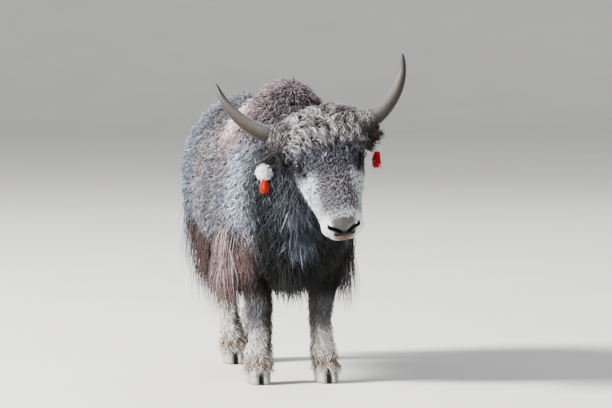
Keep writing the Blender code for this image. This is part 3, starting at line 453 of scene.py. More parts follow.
# Swellings and hollows of the face: place and degrees from the top, reach and height, the same on each side.
FACE_SHAPES = (
    (4.75, 50, 0.026, 0.0060), (6.30, 58, 0.024, -0.0065), (7.60, 40, 0.030, -0.0040),
    (7.20, 84, 0.030, 0.0045), (10.9, 46, 0.016, 0.0055), (10.4, 96, 0.020, 0.0045),
    (9.00, 100, 0.022, -0.0035), (11.2, 150, 0.016, 0.0040),
)
# Lines pressed into the face, the same on each side: place and degrees of each point, and for the nostril
# the width there.
NOSTRIL = (
    (11.44, 20, 0.0046), (11.36, 28, 0.0068), (11.20, 37, 0.0086),
    (11.00, 45, 0.0084), (10.78, 51, 0.0060), (10.58, 55, 0.0030),
)
MOUTH = ((7.9, 104), (8.7, 106), (9.5, 108), (10.3, 112), (10.9, 118), (11.35, 130), (11.6, 180))
NOSTRIL_DEPTH, MOUTH_WIDTH, MOUTH_DEPTH = 0.015, 0.0030, 0.0070
# The nostril's rim and the lips: height, distance from the line and reach.
RIM_HEIGHT, RIM_AWAY, RIM_REACH = 0.0026, 1.9, 0.0035
LIP_HEIGHT, LIP_AWAY, LIP_REACH = 0.0030, 0.0095, 0.0055
EYE_PLACE = (5.40, 65.0)
EYE_RADIUS, EYE_PROUD = 0.0185, 0.0065
# Lids: half length and half opening of the slit, thickness over the eyeball and reach of the fold round it.
SLIT_LENGTH, SLIT_OPEN, LID_THICK, LID_REACH = 0.0190, 0.0086, 0.0022, 0.027
# How far the slit bends, half the width of skin drawn into it, how deep it is sunk in parts of the eyeball's
# radius, the edge of each lid (height, reach) and the crease beyond it (place, reach, depth).
SLIT_BEND, SLIT_CORE, SOCKET_DEPTH = 0.0022, 0.0012, 0.62
LID_EDGE, CREASE = (0.0008, 0.0020), (0.0085, 0.0022, 0.0022)
# Horns: start of the core in the head's frame, length in the hair and outside it, radius where it comes out,
# how far the tip lies back, the rise of its line from core to tip, and steps along it.
HORN_START = (0.102, 0.050, 0.006)
HORN_SUNK, HORN_SHOWN, HORN_RADIUS, HORN_BACK = 0.072, 0.305, 0.035, 0.080
HORN_RISE = (math.radians(10.0), math.radians(84.0))
HORN_STEPS = 150
# Radius of the skin round a horn's root, by step along the horn's line.
SLEEVE = ((8.0, 0.052), (20.0, 0.047), (28.0, 0.041), (34.0, 0.0365), (39.0, 0.0340))


def head_axes():
    """The ways left, along the face and out of the forehead: turned, tilted and sloped from level."""
    ahead = np.array([math.sin(HEAD_TURN), -math.cos(HEAD_TURN), 0.0])
    level = np.array([math.cos(HEAD_TURN), math.sin(HEAD_TURN), 0.0])
    up = np.array([0.0, 0.0, 1.0])
    left = level * math.cos(HEAD_TILT) + up * math.sin(HEAD_TILT)
    crown = up * math.cos(HEAD_TILT) - level * math.sin(HEAD_TILT)
    face = ahead * math.cos(FACE_SLOPE) - crown * math.sin(FACE_SLOPE)
    out = ahead * math.sin(FACE_SLOPE) + crown * math.cos(FACE_SLOPE)
    return np.array([left, face, out])


HEAD_AXES = head_axes()
CROWN = np.array([0.0, -math.sin(FACE_SLOPE), math.cos(FACE_SLOPE)])
AHEAD = np.array([0.0, math.cos(FACE_SLOPE), math.sin(FACE_SLOPE)])


def from_head(points):
    """Points of the head's frame, in the animal's."""
    return points @ HEAD_AXES + POLL


def to_head(points):
    """Points of the animal's frame, in the head's."""
    return (points - POLL) @ HEAD_AXES.T


def face_outline(places, angles):
    """The outline of the face's coat: the rings of FACE, set on the neck."""
    return from_head(ring_points(FACE, places, angles))


def on_face(marks):
    """Points of the face's outline from pairs of place and degrees."""
    marks = np.array(marks, float)
    return face_outline(marks[:, 0], np.radians(marks[:, 1]))


def line_distance(points, line):
    """Distance of each point from a line of points, and how far along the line its nearest place is, in
    segments: the least over the segments, with the foot of the perpendicular kept within each."""
    start, span = line[:-1], np.diff(line, axis=0)
    away = points[:, None] - start[None]
    t = np.clip((away * span).sum(axis=2) / (span * span).sum(axis=1), 0, 1)
    distance = np.linalg.norm(away - t[..., None] * span, axis=2)
    nearest = distance.argmin(axis=1)
    row = np.arange(len(points))
    return distance[row, nearest], nearest + t[row, nearest]


def eye_seat(side):
    """The middle of an eyeball, the way it looks, the way to its front corner and the way up across it."""
    place, angle = np.array([EYE_PLACE[0]]), np.radians(np.array([EYE_PLACE[1] * side]))
    look = ways(face_outline, place, angle)[2][0]
    centre = face_outline(place, angle)[0] - look * (EYE_RADIUS - EYE_PROUD)
    along = unit(HEAD_AXES[1] - look * (look @ HEAD_AXES[1]))
    return centre, look, along, np.cross(look, along) * side


def with_lids(points, side):
    """Opens the skin over an eye. Across the slit, points within its half are spread to the almond-shaped
    opening and sunk behind the eyeball, and those beyond are drawn over the ball by the lid's thickness."""
    centre, look, along, up = eye_seat(side)
    away = points - centre
    u, v, w = away @ along, away @ up, away @ look
    near = rising(-np.hypot(u, v * 1.15), -LID_REACH, -LID_REACH * 0.62) * (w > 0)
    v = v + SLIT_BEND * bell(u, SLIT_LENGTH) * near
    opening = SLIT_OPEN * np.sqrt(np.clip(1 - (u / SLIT_LENGTH) ** 2, 0, 1))
    inside = np.abs(v) < SLIT_CORE
    spread = opening + (np.abs(v) - SLIT_CORE) * (1 - opening / LID_REACH)
    new_v = np.sign(v) * np.where(inside, opening * np.abs(v) / SLIT_CORE, spread)
    off = np.hypot(u, new_v)
    over_ball = np.sqrt(np.clip((EYE_RADIUS + LID_THICK) ** 2 - off ** 2, 0, None))
    lid = np.where(off < EYE_RADIUS, np.maximum(over_ball, w), w)
    beyond = np.abs(new_v) - opening
    crease = -CREASE[2] * bell(beyond - CREASE[0], CREASE[1]) * (np.abs(u) < SLIT_LENGTH * 1.1)
    edge = LID_EDGE[0] * bell(beyond, LID_EDGE[1])
    new_w = np.where(inside & (opening > 0.0005), EYE_RADIUS * SOCKET_DEPTH, lid + crease + edge)
    moved = centre + u[:, None] * along + new_v[:, None] * up + new_w[:, None] * look
    return points + (moved - points) * near[:, None]


def nostril_distance(points, side):
    """Distance of each point from the nostril's line, carried inwards as deep as the nostril goes."""
    marks = np.array(NOSTRIL)[:, :2] * (1, side)
    line = on_face(marks)
    inwards = ways(face_outline, marks[:, 0], np.radians(marks[:, 1]))[2] * -NOSTRIL_DEPTH
    lines = [line + inwards * share for share in (0.0, 0.4, 0.8, 1.2)]
    return np.min([line_distance(points, each)[0] for each in lines], axis=0)


def face_skin(places, angles):
    """The head's skin: the outline drawn in by the hair's depth, then pushed in or out by its swellings,
    nostrils and lips, each a bell of the distance from a point or a line, and opened at the eyes."""
    out = ways(face_outline, places, angles)[2]
    points = face_outline(places, angles)
    push = -np.interp(places, *np.array(FACE_HAIR).T)
    for side in sides_of.values():
        for place, degrees, reach, height in FACE_SHAPES:
            at = on_face([(place, degrees * side)])[0]
            push += height * bell(np.linalg.norm(points - at, axis=1), reach)
        nostril = np.array(NOSTRIL)
        distance, t = line_distance(points, on_face(nostril[:, :2] * (1, side)))
        width = np.interp(t, np.arange(len(nostril)), nostril[:, 2])
        push -= NOSTRIL_DEPTH * np.exp(-((distance / width) ** 4))
        push += RIM_HEIGHT * bell(distance - RIM_AWAY * width, RIM_REACH) * (t < len(nostril) - 1.1)
        distance, _ = line_distance(points, on_face(np.array(MOUTH) * (1, side)))
        push -= MOUTH_DEPTH * bell(distance, MOUTH_WIDTH)
        push += LIP_HEIGHT * bell(distance - LIP_AWAY, LIP_REACH)
    points = points + out * push[:, None]
    for side in sides_of.values():
        points = with_lids(points, side)
    return points


def horn_line():
    """The horn's middle line in the head's frame: steps of equal length whose rise grows from core to tip,
    drawn back by the square of the way shown."""
    s = np.arange(HORN_STEPS + 1) / HORN_STEPS
    rise = HORN_RISE[0] + (HORN_RISE[1] - HORN_RISE[0]) * s ** 1.15
    step = (HORN_SUNK + HORN_SHOWN) / HORN_STEPS
    ways_on = np.cos(rise)[:, None] * np.array([1.0, 0, 0]) + np.sin(rise)[:, None] * CROWN
    line = np.array(HORN_START) + np.vstack([np.zeros(3), np.cumsum(ways_on[:-1] * step, axis=0)])
    shown = np.maximum(s * (HORN_SUNK + HORN_SHOWN) - HORN_SUNK, 0) / HORN_SHOWN
    return line - AHEAD * (HORN_BACK * shown ** 2)[:, None], shown


def sleeve_skin(side):
    """The skin round a horn's root: rings across the horn's line, wide on the head and close on the horn."""
    line = from_head(horn_line()[0] * (side, 1, 1))
    way = unit(np.gradient(line, axis=0))
    across = unit(np.cross(way, AHEAD @ HEAD_AXES))
    out = np.cross(across, way)
    steps = np.arange(len(line))

    def surface(places, angles):
        """Points on circles across the horn's line."""
        middle, level, raised = (
            np.column_stack([np.interp(places, steps, vectors[:, k]) for k in range(3)])
            for vectors in (line, across, out)
        )
        radius = np.interp(places, *np.array(SLEEVE).T)[:, None]
        return middle + radius * (np.cos(angles)[:, None] * level + np.sin(angles)[:, None] * raised)

    return surface


def closer(low, high, count, peaks):
    """Places from low to high, set closer at each peak (place, reach, how much closer)."""
    fine = np.linspace(low, high, 4000)
    weight = 1 + sum(more * bell(fine - at, reach) for at, reach, more in peaks)
    total = np.concatenate([[0], np.cumsum(weight)[:-1]])
    return np.interp(np.linspace(0, total[-1], count), total, fine)


face_places = closer(0.0, FACE[-1][0], 226, ((5.4, 0.42, 2.4), (10.9, 0.8, 2.2)))
half_round = closer(0.0, np.pi, 112, ((math.radians(65), 0.13, 4.0), (math.radians(112), 0.25, 1.2)))
face_angles = np.concatenate([half_round[:-1], 2 * np.pi - half_round[:0:-1]])
face_form = closed_loft(grid_of(face_skin, face_places, face_angles))
sleeve_places = np.linspace(SLEEVE[0][0], SLEEVE[-1][0], 24)
sleeve_grids = [grid_of(sleeve_skin(side), sleeve_places, around(40)) for side in sides_of.values()]
sleeve_forms = [closed_loft(grid) for grid in sleeve_grids]


# One skin over the whole animal
# The trunk, legs and dock are grown together and smoothed where they meet, and the head and the sleeves
# round the horns are joined on, so no seam shows. It carries the coat's markings, and a bump of short hair.
SKIN_CELL = 0.0094
SMOOTHING_ROUNDS = 8
SKIN_NODES = (
    "torso", "neck", "head", "tail", "foreleg_left", "foreleg_right", "hind_leg_left", "hind_leg_right",
)


def applied(obj):
    """Applies the object's modifiers."""
    graph = bpy.context.evaluated_depsgraph_get()
    mesh = bpy.data.meshes.new_from_object(obj.evaluated_get(graph))
    obj.modifiers.clear()
    obj.data = mesh
    mesh.name = obj.name


skin = mesh_piece("skin", *joined([trunk_form, dock_form] + leg_forms))
head_parts = [mesh_piece("head_part", *form) for form in [face_form] + sleeve_forms]
grown = skin.modifiers.new("grown_together", "REMESH")
grown.mode, grown.voxel_size, grown.use_smooth_shade = "VOXEL", SKIN_CELL, True
smoothed = skin.modifiers.new("smoothed", "SMOOTH")
smoothed.factor, smoothed.iterations = 0.5, SMOOTHING_ROUNDS
applied(skin)
for part_of_head in head_parts:
    fused = skin.modifiers.new("head_on", "BOOLEAN")
    fused.operation, fused.solver, fused.object = "UNION", "MANIFOLD", part_of_head
    applied(skin)
    bpy.data.objects.remove(part_of_head, do_unlink=True)
skin.data.polygons.foreach_set("use_smooth", np.ones(len(skin.data.polygons), bool))
skin.data.polygons.foreach_set("material_index", np.zeros(len(skin.data.polygons), np.int32))

# What the eye sees, raised to this power, is the amount of light.
GAMMA = 2.2
# Colours of the coat as the eye sees them, by region. Some are also laid on as painted shade: inner on the
# legs, back in the flank's crease, belly on the left flank, and neck and chest on the front.
WOOL = {
    "barrel": (0.375, 0.378, 0.402), "hip": (0.350, 0.375, 0.415), "rose": (0.400, 0.360, 0.362),
    "back": (0.260, 0.255, 0.275), "saddle": (0.800, 0.680, 0.660), "hump": (0.400, 0.355, 0.372),
    "shoulder": (0.560, 0.600, 0.665), "neck": (0.106, 0.118, 0.140), "throat": (0.340, 0.362, 0.400),
    "chest": (0.030, 0.034, 0.042), "bib": (0.385, 0.415, 0.470), "skirt": (0.190, 0.135, 0.128),
    "elbow": (0.540, 0.440, 0.425), "belly_and_painted_shade": (0.120, 0.100, 0.100), "forearm": (0.068, 0.066, 0.070),
    "shank": (0.350, 0.350, 0.360), "inner": (0.170, 0.145, 0.120), "sock": (0.840, 0.830, 0.810),
    "fetlock": (0.560, 0.480, 0.400), "hind": (0.880, 0.885, 0.890), "tail": (0.250, 0.235, 0.260),
    "poll": (0.430, 0.415, 0.420), "brow": (0.255, 0.255, 0.282), "bridge": (0.350, 0.342, 0.362),
    "cheek": (0.720, 0.745, 0.770), "muzzle": (0.950, 0.955, 0.955), "jaw": (0.230, 0.240, 0.270),
    "nose": (0.330, 0.325, 0.320), "rim": (0.040, 0.036, 0.036), "lip": (0.600, 0.370, 0.180),
    "temple": (0.090, 0.085, 0.090),
}
WOOL = {place: np.array(colour) for place, colour in WOOL.items()}


def marked(colours, marks):
    """Colours drawn towards the wool's colour of each mark in turn, by the mark's share at each point."""
    for place, share in marks:
        colours = colours + (WOOL[place] - colours) * np.clip(share, 0, 1)[:, None]
    return colours


def body_colours(points):
    """The markings of the body: bells and smooth steps of the place on it, some of them painted shade. The
    flanks are pale and the back darker, the skirt is red-brown, and the neck and chest are nearly black,
    partly by painted shade on the front, with a paler throat."""
    x, y, z = points.T
    wide = np.abs(x)
    crest = rising(-y, 0.42, 0.50) * rising(z, 0.98, 1.02)
    upright = rising(-z, -0.95, -0.85) * rising(z, 0.56, 0.64)
    low = rising(-z + 0.04 * rising(y, -0.15, 0.05), -0.57, -0.49)
    under_chest = low * rising(-y, 0.42, 0.47) * rising(-wide, -0.23, -0.19)
    front = np.minimum(rising(-y, 0.505, 0.58) + under_chest, 1)
    fore, hind = rising(-y, 0.10, 0.14), rising(y, 0.22, 0.28)
    # The legs' inner sides are painted darker, partly darker hair and partly painted shade: most on the right
    # foreleg, less on the right hind leg and least on the left legs.
    within = rising(np.where(y < 0, 0.108, 0.060) - wide, 0.0, 0.022)
    depth = np.where(x > 0, 0.25, np.where(y < 0, 0.85, 0.60))
    left_shade_band = rising(-z, -0.60, -0.50) * rising(z, 0.36, 0.44)
    return marked(WOOL["barrel"], [
        ("hip", rising(y, 0.10, 0.26)),
        ("rose", 0.9 * bell(y - 0.02, 0.12) * bell(z - 0.84, 0.14)),
        ("rose", 0.9 * bell(y + 0.36, 0.10) * bell(z - 0.90, 0.12)),
        ("back", rising(z, 0.89, 1.01) * rising(-y, -0.36, -0.16)),
        # Painted shade in the crease between the barrel and the haunch, over the hollow of the flank.
        ("back", 0.7 * bell(y - 0.13, 0.05) * rising(z, 0.70, 0.90)),
        ("saddle", bell(y + 0.27, 0.13) * rising(z, 0.85, 0.99)),
        ("hump", rising(-y, 0.22, 0.30) * rising(z, 1.02, 1.08)
         + rising(-y, 0.41, 0.48) * rising(z, 0.94, 1.01)),
        ("neck", 0.25 * crest * rising(x, -0.10, -0.04)),
        ("shoulder", bell(y + 0.46, 0.07) * upright),
        ("skirt", low * rising(-y, -0.50, -0.42)),
        # The neck's front and the chest are nearly black, partly their own colour and partly painted shade on
        # the front, which faces away from the light.
        ("neck", front * rising(-z, -0.99, -0.88)),
        ("throat", bell(x + 0.02, 0.055) * bell(z - 0.70, 0.060) * rising(-y, 0.54, 0.58)),
        ("chest", front * rising(-z, -0.66, -0.55)),
        ("bib", bell(x, 0.050) * bell(z - 0.570, 0.050) * rising(-y, 0.50, 0.56)),
        ("belly_and_painted_shade", rising(-z, -0.47, -0.41) * rising(-wide, -0.16, -0.10)),
        ("forearm", fore * rising(-z, -0.50, -0.43) * rising(-y, 0.36, 0.42)),
        ("shank", fore * rising(-z, -0.38, -0.31)),
        ("hind", hind * rising(-z, -0.48, -0.40)),
        ("sock", fore * rising(-z, -0.26, -0.17) + hind * rising(-z, -0.42, -0.32)),
        # inner: painted shade, over somewhat darker hair, on the legs' inner sides.
        ("inner", depth * within * rising(-z, -0.42, -0.34) * rising(z, 0.09, 0.16)),
        # The red-brown of the elbow is laid on the right side only, and the left side's lower front flank is
        # painted darker as shade.
        ("elbow", bell(y + 0.43, 0.115) * bell(z - 0.475, 0.105) * rising(-x, 0.12, 0.17)),
        ("belly_and_painted_shade", rising(x, 0.10, 0.18) * rising(-y, 0.10, 0.20) * left_shade_band),
        ("fetlock", 0.8 * bell(z - 0.088, 0.020)),
        ("tail", rising(y, 0.60, 0.63) * rising(-z, -0.93, -0.85)),
    ])


JAW_LINE = np.array(FACE)[:, 3:5]
NECK_EDGE = unit(np.array([0.357, 0.180]))


def head_share(points):
    """One on the head and nought behind the line from the crown to the throat, or below the jaw."""
    _, b, c = to_head(points).T
    past_neck = (b + 0.100) * NECK_EDGE[0] + (c - 0.145) * NECK_EDGE[1]
    above_jaw = c - np.interp(b, *JAW_LINE.T)
    return rising(past_neck, -0.01, 0.02) * rising(above_jaw, -0.035, -0.020)


def head_colours(points):
    """The markings of the head, from its length, side and height in the head's frame, and round the eyes,
    nostrils and mouth."""
    a, b, c = to_head(points).T
    a = np.abs(a)
    pad = rising(b + 0.25 * c, 0.420, 0.440) * rising(-a, -0.050, -0.032) * rising(c, -0.040, -0.026)
    marks = [
        ("poll", rising(-b, -0.135, -0.085) * rising(c, -0.03, 0.02)),
        ("bridge", rising(b, 0.19, 0.27)),
        ("jaw", rising(-b, -0.22, -0.12) * rising(-c, -0.010, 0.045)),
        ("temple", rising(-b, -0.185, -0.150) * rising(-c, -0.010, 0.020) * rising(a, 0.09, 0.12)),
        ("cheek", rising(b, 0.19, 0.25) * rising(c, -0.08, -0.05) * rising(a, 0.050, 0.085)),
        ("jaw", rising(-c, 0.065, 0.10) * rising(-b, -0.42, -0.36)),
        ("cheek", 0.7 * rising(b, 0.355, 0.41)),
        ("muzzle", rising(b, 0.375, 0.42) * rising(a - 0.3 * c, 0.030, 0.052)),
        ("nose", pad),
        ("rim", 0.9 * pad * rising(-c - 0.35 * a, -0.004, 0.006)),
        ("lip", rising(b, 0.43, 0.45) * rising(-a, -0.045, -0.032) * bell(c + 0.046, 0.0075)),
    ]
    for side in sides_of.values():
        centre, _, along, up = eye_seat(side)
        away = points - centre
        u, v = away @ along, away @ up
        line = on_face(np.array(MOUTH) * (1, side))
        marks += [
            ("rim", rising(-np.hypot(u / 1.5, v), -0.0190, -0.0150)),
            ("rim", 0.9 * bell(u - 0.036, 0.011) * bell(v + 0.008, 0.009)),
            ("lip", 0.8 * bell(line_distance(points, line)[0], 0.0045)),
            ("rim", rising(-nostril_distance(points, side), -0.0105, -0.0070)),
        ]
    return marked(WOOL["brow"], marks)


def coat_colours(points):
    """The coat's colour at points of the animal, turned from what the eye sees to the amount of light."""
    share = head_share(points)[:, None]
    seen = body_colours(points) * (1 - share)
    seen += head_colours(points) * share
    return np.clip(seen, 0.01, 0.98) ** GAMMA


def paint(obj, colours):
    """Stores a colour for each point of the mesh as its attribute coat_colour."""
    layer = obj.data.color_attributes.new("coat_colour", "FLOAT_COLOR", "POINT")
    rgba = np.column_stack([colours, np.ones(len(colours))]).astype(np.float32)
    layer.data.foreach_set("color", rgba.ravel())


def points_of(mesh):
    """The mesh's points, in the animal's own frame."""
    points = np.empty(len(mesh.vertices) * 3, np.float32)
    mesh.vertices.foreach_get("co", points)
    return points.reshape(-1, 3).astype(float) + MIDDLE


def bare_places(points):
    """Nought in the eye slits, the nostrils, the lips' parting and on the nose pad, and one elsewhere."""
    a, b, c = to_head(points).T
    pad = rising(b + 0.25 * c, 0.426, 0.434) * rising(-np.abs(a), -0.048, -0.042)
    hairy = 1 - pad * rising(c, -0.036, -0.030)
    for side in sides_of.values():
        centre, _, along, up = eye_seat(side)
        away = points - centre
        hairy *= rising(np.hypot((away @ along) / 1.8, away @ up), 0.0120, 0.0140)
        hairy *= rising(nostril_distance(points, side), 0.0090, 0.0115)
        hairy *= rising(line_distance(points, on_face(np.array(MOUTH) * (1, side)))[0], 0.0030, 0.0045)
    return hairy


# Numbers of the Mix node's sockets for colours.
MIX_SHARE, MIX_FIRST, MIX_SECOND, MIX_RESULT = 0, 6, 7, 2


def own_colour(shader, node, join, noise, span, shades):
    """The mesh's own colour, times a shade read from noise: its span is stretched over the shades."""
    colour = node("Attribute", attribute_name="coat_colour")
    shade = node("MapRange", From_Min=span[0], From_Max=span[1], To_Min=shades[0], To_Max=shades[1])
    dim = node("Mix", data_type="RGBA", blend_type="MULTIPLY")
    dim.inputs[MIX_SHARE].default_value = 1.0
    join(noise, "Fac", shade, "Value")
    join(colour, "Color", dim, MIX_FIRST)
    join(shade, "Result", dim, MIX_SECOND)
    join(dim, MIX_RESULT, shader, "Base Color")


def bumped(shader, node, join, source, socket, strength, distance):
    """A bump from one socket's height."""
    bump = node("Bump", Strength=strength, Distance=distance)
    join(source, socket, bump, "Height")
    join(bump, "Normal", shader, "Normal")


skin_points = points_of(skin.data)
skin_colours = coat_colours(skin_points)
haired = bare_places(skin_points)[:, None]
shadow = 0.40 + 0.45 * skin_colours.mean(axis=1, keepdims=True)
paint(skin, skin_colours * (haired * shadow + 1 - haired))
skin_hair, shader, node, join = new_material("skin_under_hair")
fine = noise_over(node, join, Scale=340.0, Detail=4.0, Roughness=0.7)
coarse = noise_over(node, join, Scale=38.0, Detail=5.0, Roughness=0.6)
heights = node("Math", operation="ADD")
own_colour(shader, node, join, coarse, (0.35, 0.65), (0.62, 1.10))
join(fine, "Fac", heights, 0)
join(coarse, "Fac", heights, 1)
bumped(shader, node, join, heights, "Value", 0.55, 0.0015)
shader.inputs["Roughness"].default_value = 0.72
shader.inputs["Specular IOR Level"].default_value = 0.15
skin.data.materials.clear()
skin.data.materials.append(skin_hair)
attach(skin, "root")
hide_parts(*SKIN_NODES)


# Wool of the trunk
# Dense wool a few centimetres long, in small staples that lean down and back. Each tuft is a thin solid of
# three sides, rooted in the skin and drawn to a point, and neighbours draw together into a staple.

# How deep a tuft is set in the skin, the size of its patch on the flat unwrap, and its three corners.
ROOT_DEPTH, PATCH, CORNERS = 0.003, 0.003, np.radians([90.0, 210.0, 330.0])
# Pieces of the trunk's coat: first and last place in TRUNK, how many tufts and how many rings in each.
WOOL_PARTS = {
    "wool_rump": (0.15, 2.4, 19500, 2),
    "wool_barrel": (2.4, 5.0, 19500, 2),
    "wool_shoulder": (5.0, 8.2, 19500, 2),
    "wool_neck": (8.2, 12.5, 13000, 3),
}
# Width of a tuft, the size of a staple in places and angle, and the length: plain, more on the neck, more
# below and more on the hump.
WOOL_WIDTH, TRUNK_STAPLE = 0.0045, (0.080, 0.048)
WOOL_LENGTH, NECK_MORE, UNDER_MORE, HUMP_MORE = 0.027, 0.014, 0.022, 0.008
# A root that lies farther than this from the skin is left out.
LOST = 0.012

chance = np.random.default_rng(7)


def tuft_pattern(rings):
    """Triangles of one tuft: a cap on its root, walls of three sides from ring to ring, and its point."""
    i, j = np.meshgrid(np.arange(rings - 1), np.arange(3), indexing="ij")
    i, j = i.ravel() * 3, j.ravel()
    k = (j + 1) % 3
    first = np.column_stack([i + j, i + k, i + 3 + k])
    second = np.column_stack([i + j, i + 3 + k, i + 3 + j])
    j = np.arange(3)
    tip = np.column_stack([3 * (rings - 1) + j, 3 * (rings - 1) + (j + 1) % 3, np.full(3, 3 * rings)])
    return np.vstack([[(0, 2, 1)], first, second, tip])


def tufts(name, roots, out, lie, length, width, colours, unwrap, rings=2, lift=0.5, coil=0.0, turns=1.0,
          droop=0.0, dark_root=0.5, light_tip=1.15, flat=0.55, blunt=2.5):
    """A coat piece of tufts. The middle line of a tuft goes along its lie and rises off the skin by a
    parabola, sinks with its weight as the square of the way along, and turns in a helix of the coil's
    radius. A flat ring of three points is carried along it and drawn to a point."""
    count = len(roots)
    across = unit(np.cross(out, lie))
    phase = chance.uniform(0, 2 * np.pi, count)
    lift = np.broadcast_to(lift, count)
    rows, tints, patches = [], [], []
    for ring in range(rings + 1):
        s = ring / rings
        rise = np.sin(lift) * s * (1.5 - s)
        run = np.cos(lift * (1 - s)) * s
        swing = 2 * np.pi * turns * s + phase
        height = rise * length - ROOT_DEPTH * (ring == 0)
        path = roots + out * height[:, None] + lie * (run * length)[:, None]
        path += across * (coil * length * (np.sin(swing) - np.sin(phase)))[:, None]
        path += out * (coil * length * (np.cos(swing) - np.cos(phase)))[:, None]
        path[:, 2] -= droop * length * s * s
        tint = colours * np.reshape(dark_root + (light_tip - dark_root) * s, (-1, 1))
        if ring == rings:
            rows.append(path[:, None])
            tints.append(tint[:, None])
            patches.append(unwrap[:, None] + (0, PATCH / 2))
            continue
        radius = width / 2 * (1 - s ** blunt)
        rows.append(path[:, None] + across[:, None] * (radius[:, None] * np.cos(CORNERS))[..., None]
                    + out[:, None] * (flat * radius[:, None] * np.sin(CORNERS))[..., None])
        tints.append(np.repeat(tint[:, None], 3, axis=1))
        spots = np.column_stack([np.array([-0.5, 0.0, 0.5]) * PATCH, np.full(3, (s - 0.5) * PATCH)])
        patches.append(unwrap[:, None] + spots[None])
    size = 3 * rings + 1
    points = np.concatenate(rows, axis=1).reshape(-1, 3)
    pattern = tuft_pattern(rings)
    triangles = (pattern[None] + (np.arange(count) * size)[:, None, None]).reshape(-1, 3)
    made = mesh_piece(name, points, triangles)
    paint(made, np.clip(np.concatenate(tints, axis=1).reshape(-1, 3), 0.004, 0.95))
    flat_map = np.clip(np.concatenate(patches, axis=1).reshape(-1, 2), 0, 1)
    order = np.empty(len(made.data.loops), np.int32)
    made.data.loops.foreach_get("vertex_index", order)
    layer = made.data.uv_layers.new(name="OFBake")
    layer.data.foreach_set("uv", flat_map[order].astype(np.float32).ravel())
    made.data.materials.append(wool_material)
    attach(made, "root")
    return made


def scattered(surface, place_range, angle_range, count, density=None, cells=(160, 160)):
    """Places and angles spread evenly over a surface: cells of a grid are drawn by their area, times the
    density asked for, and each root lies anywhere in its cell."""
    p = np.linspace(*place_range, cells[0] + 1)
    a = np.linspace(*angle_range, cells[1] + 1)
    mid_p, mid_a = np.meshgrid((p[1:] + p[:-1]) / 2, (a[1:] + a[:-1]) / 2, indexing="ij")
    mid_p, mid_a = mid_p.ravel(), mid_a.ravel()
    along, round_it, _ = ways(surface, mid_p, mid_a)
    weight = np.linalg.norm(np.cross(along, round_it), axis=1)
    if density is not None:
        weight = weight * density(surface(mid_p, mid_a), mid_p, mid_a)
    total = np.cumsum(weight)
    picks = (np.arange(count) + chance.random(count)) / count * total[-1]
    cell = np.clip(np.searchsorted(total, picks), 0, len(total) - 1)
    places = mid_p[cell] + (chance.random(count) - 0.5) * (p[1] - p[0])
    angles = mid_a[cell] + (chance.random(count) - 0.5) * (a[1] - a[0])
    return places, angles


def laid_on_skin(points):
    """The nearest places on the skin, and how far off it each point was."""
    cloud = bpy.data.meshes.new("cloud")
    cloud.from_pydata(points - MIDDLE, [], [])
    holder = bpy.data.objects.new("cloud", cloud)
    bpy.context.scene.collection.objects.link(holder)
    wrap = holder.modifiers.new("wrap", "SHRINKWRAP")
    wrap.target, wrap.wrap_method = skin, "NEAREST_SURFACEPOINT"
    applied(holder)
    laid = points_of(holder.data)
    bpy.data.objects.remove(holder, do_unlink=True)
    return laid, np.linalg.norm(laid - points, axis=1)


def rooted(outline, inner, places, angles, lost=LOST, hand=1.0):
    """The roots of tufts: each place laid on the skin, with the ways along and outwards there. Those that
    lie too far from the skin are left out, and which are kept is given too."""
    along, _, out = ways(outline, places, angles, hand)
    roots, moved = laid_on_skin(inner(places, angles))
    kept = moved < lost
    return [values[kept] for values in (places, angles, along, out, roots)], kept


def staples(places, angles, across_places, across_angles):
    """The nearest staple of each root: middles lie in staggered rows, each shaken, and the nearest of the
    nine round a root is its own. Gives the middle's place and angle and a number for the staple, which is
    a sine of large numbers, the same on each run."""
    row = np.floor(places / across_places)
    best = np.full(len(places), 1e9)
    found = [np.zeros(len(places)) for _ in range(3)]
    for step_row in (-1, 0, 1):
        for step_column in (-1, 0, 1):
            r = row + step_row
            shift = 0.5 * (r % 2)
            k = np.floor(angles / across_angles - shift) + step_column
            code = np.sin(r * 127.1 + k * 311.7) * 43758.5
            shake_a, shake_b = code % 1 - 0.5, (code * 7.13) % 1 - 0.5
            middle_p = (r + 0.5 + 0.7 * shake_a) * across_places
            middle_a = (k + 0.5 + shift + 0.7 * shake_b) * across_angles
            gap = np.hypot((places - middle_p) / across_places, (angles - middle_a) / across_angles)
            closer_one = gap < best
            best = np.where(closer_one, gap, best)
            for slot, value in enumerate((middle_p, middle_a, code)):
                found[slot] = np.where(closer_one, value, found[slot])
    return found


def drawn_from(code, salt):
    """A number from nought to one for each staple, the same for all its tufts."""
    return (np.sin(code * 0.37 + salt * 17.3) * 9187.3) % 1


def along_skin(vectors, out):
    """The part of each vector that lies within the skin."""
    return vectors - out * (vectors * out).sum(axis=1)[:, None]


def turned(lie, out, swirl):
    """Each lie turned within the skin by an angle."""
    return lie * np.cos(swirl)[:, None] + np.cross(out, lie) * np.sin(swirl)[:, None]


def widths(middle, count):
    """Widths of tufts, shaken about their middle."""
    return middle * chance.uniform(0.7, 1.2, count)


def hanging(out, back, weight_down, weight_back):
    """The lie of a coat: down the slope of the skin and back along the body, both within the skin."""
    down = np.array([0.0, 0.0, -1.0]) - out * (-out[:, 2:3])
    way = down * weight_down + unit(back) * weight_back
    return unit(along_skin(way, out))


def spread_map(places, angles, place_range, angle_range):
    """Where each root lies on the flat unwrap of its piece: angle across and place up."""
    u = (angles - angle_range[0]) / (angle_range[1] - angle_range[0])
    v = (places - place_range[0]) / (place_range[1] - place_range[0])
    return 0.01 + 0.98 * np.column_stack([u, v])


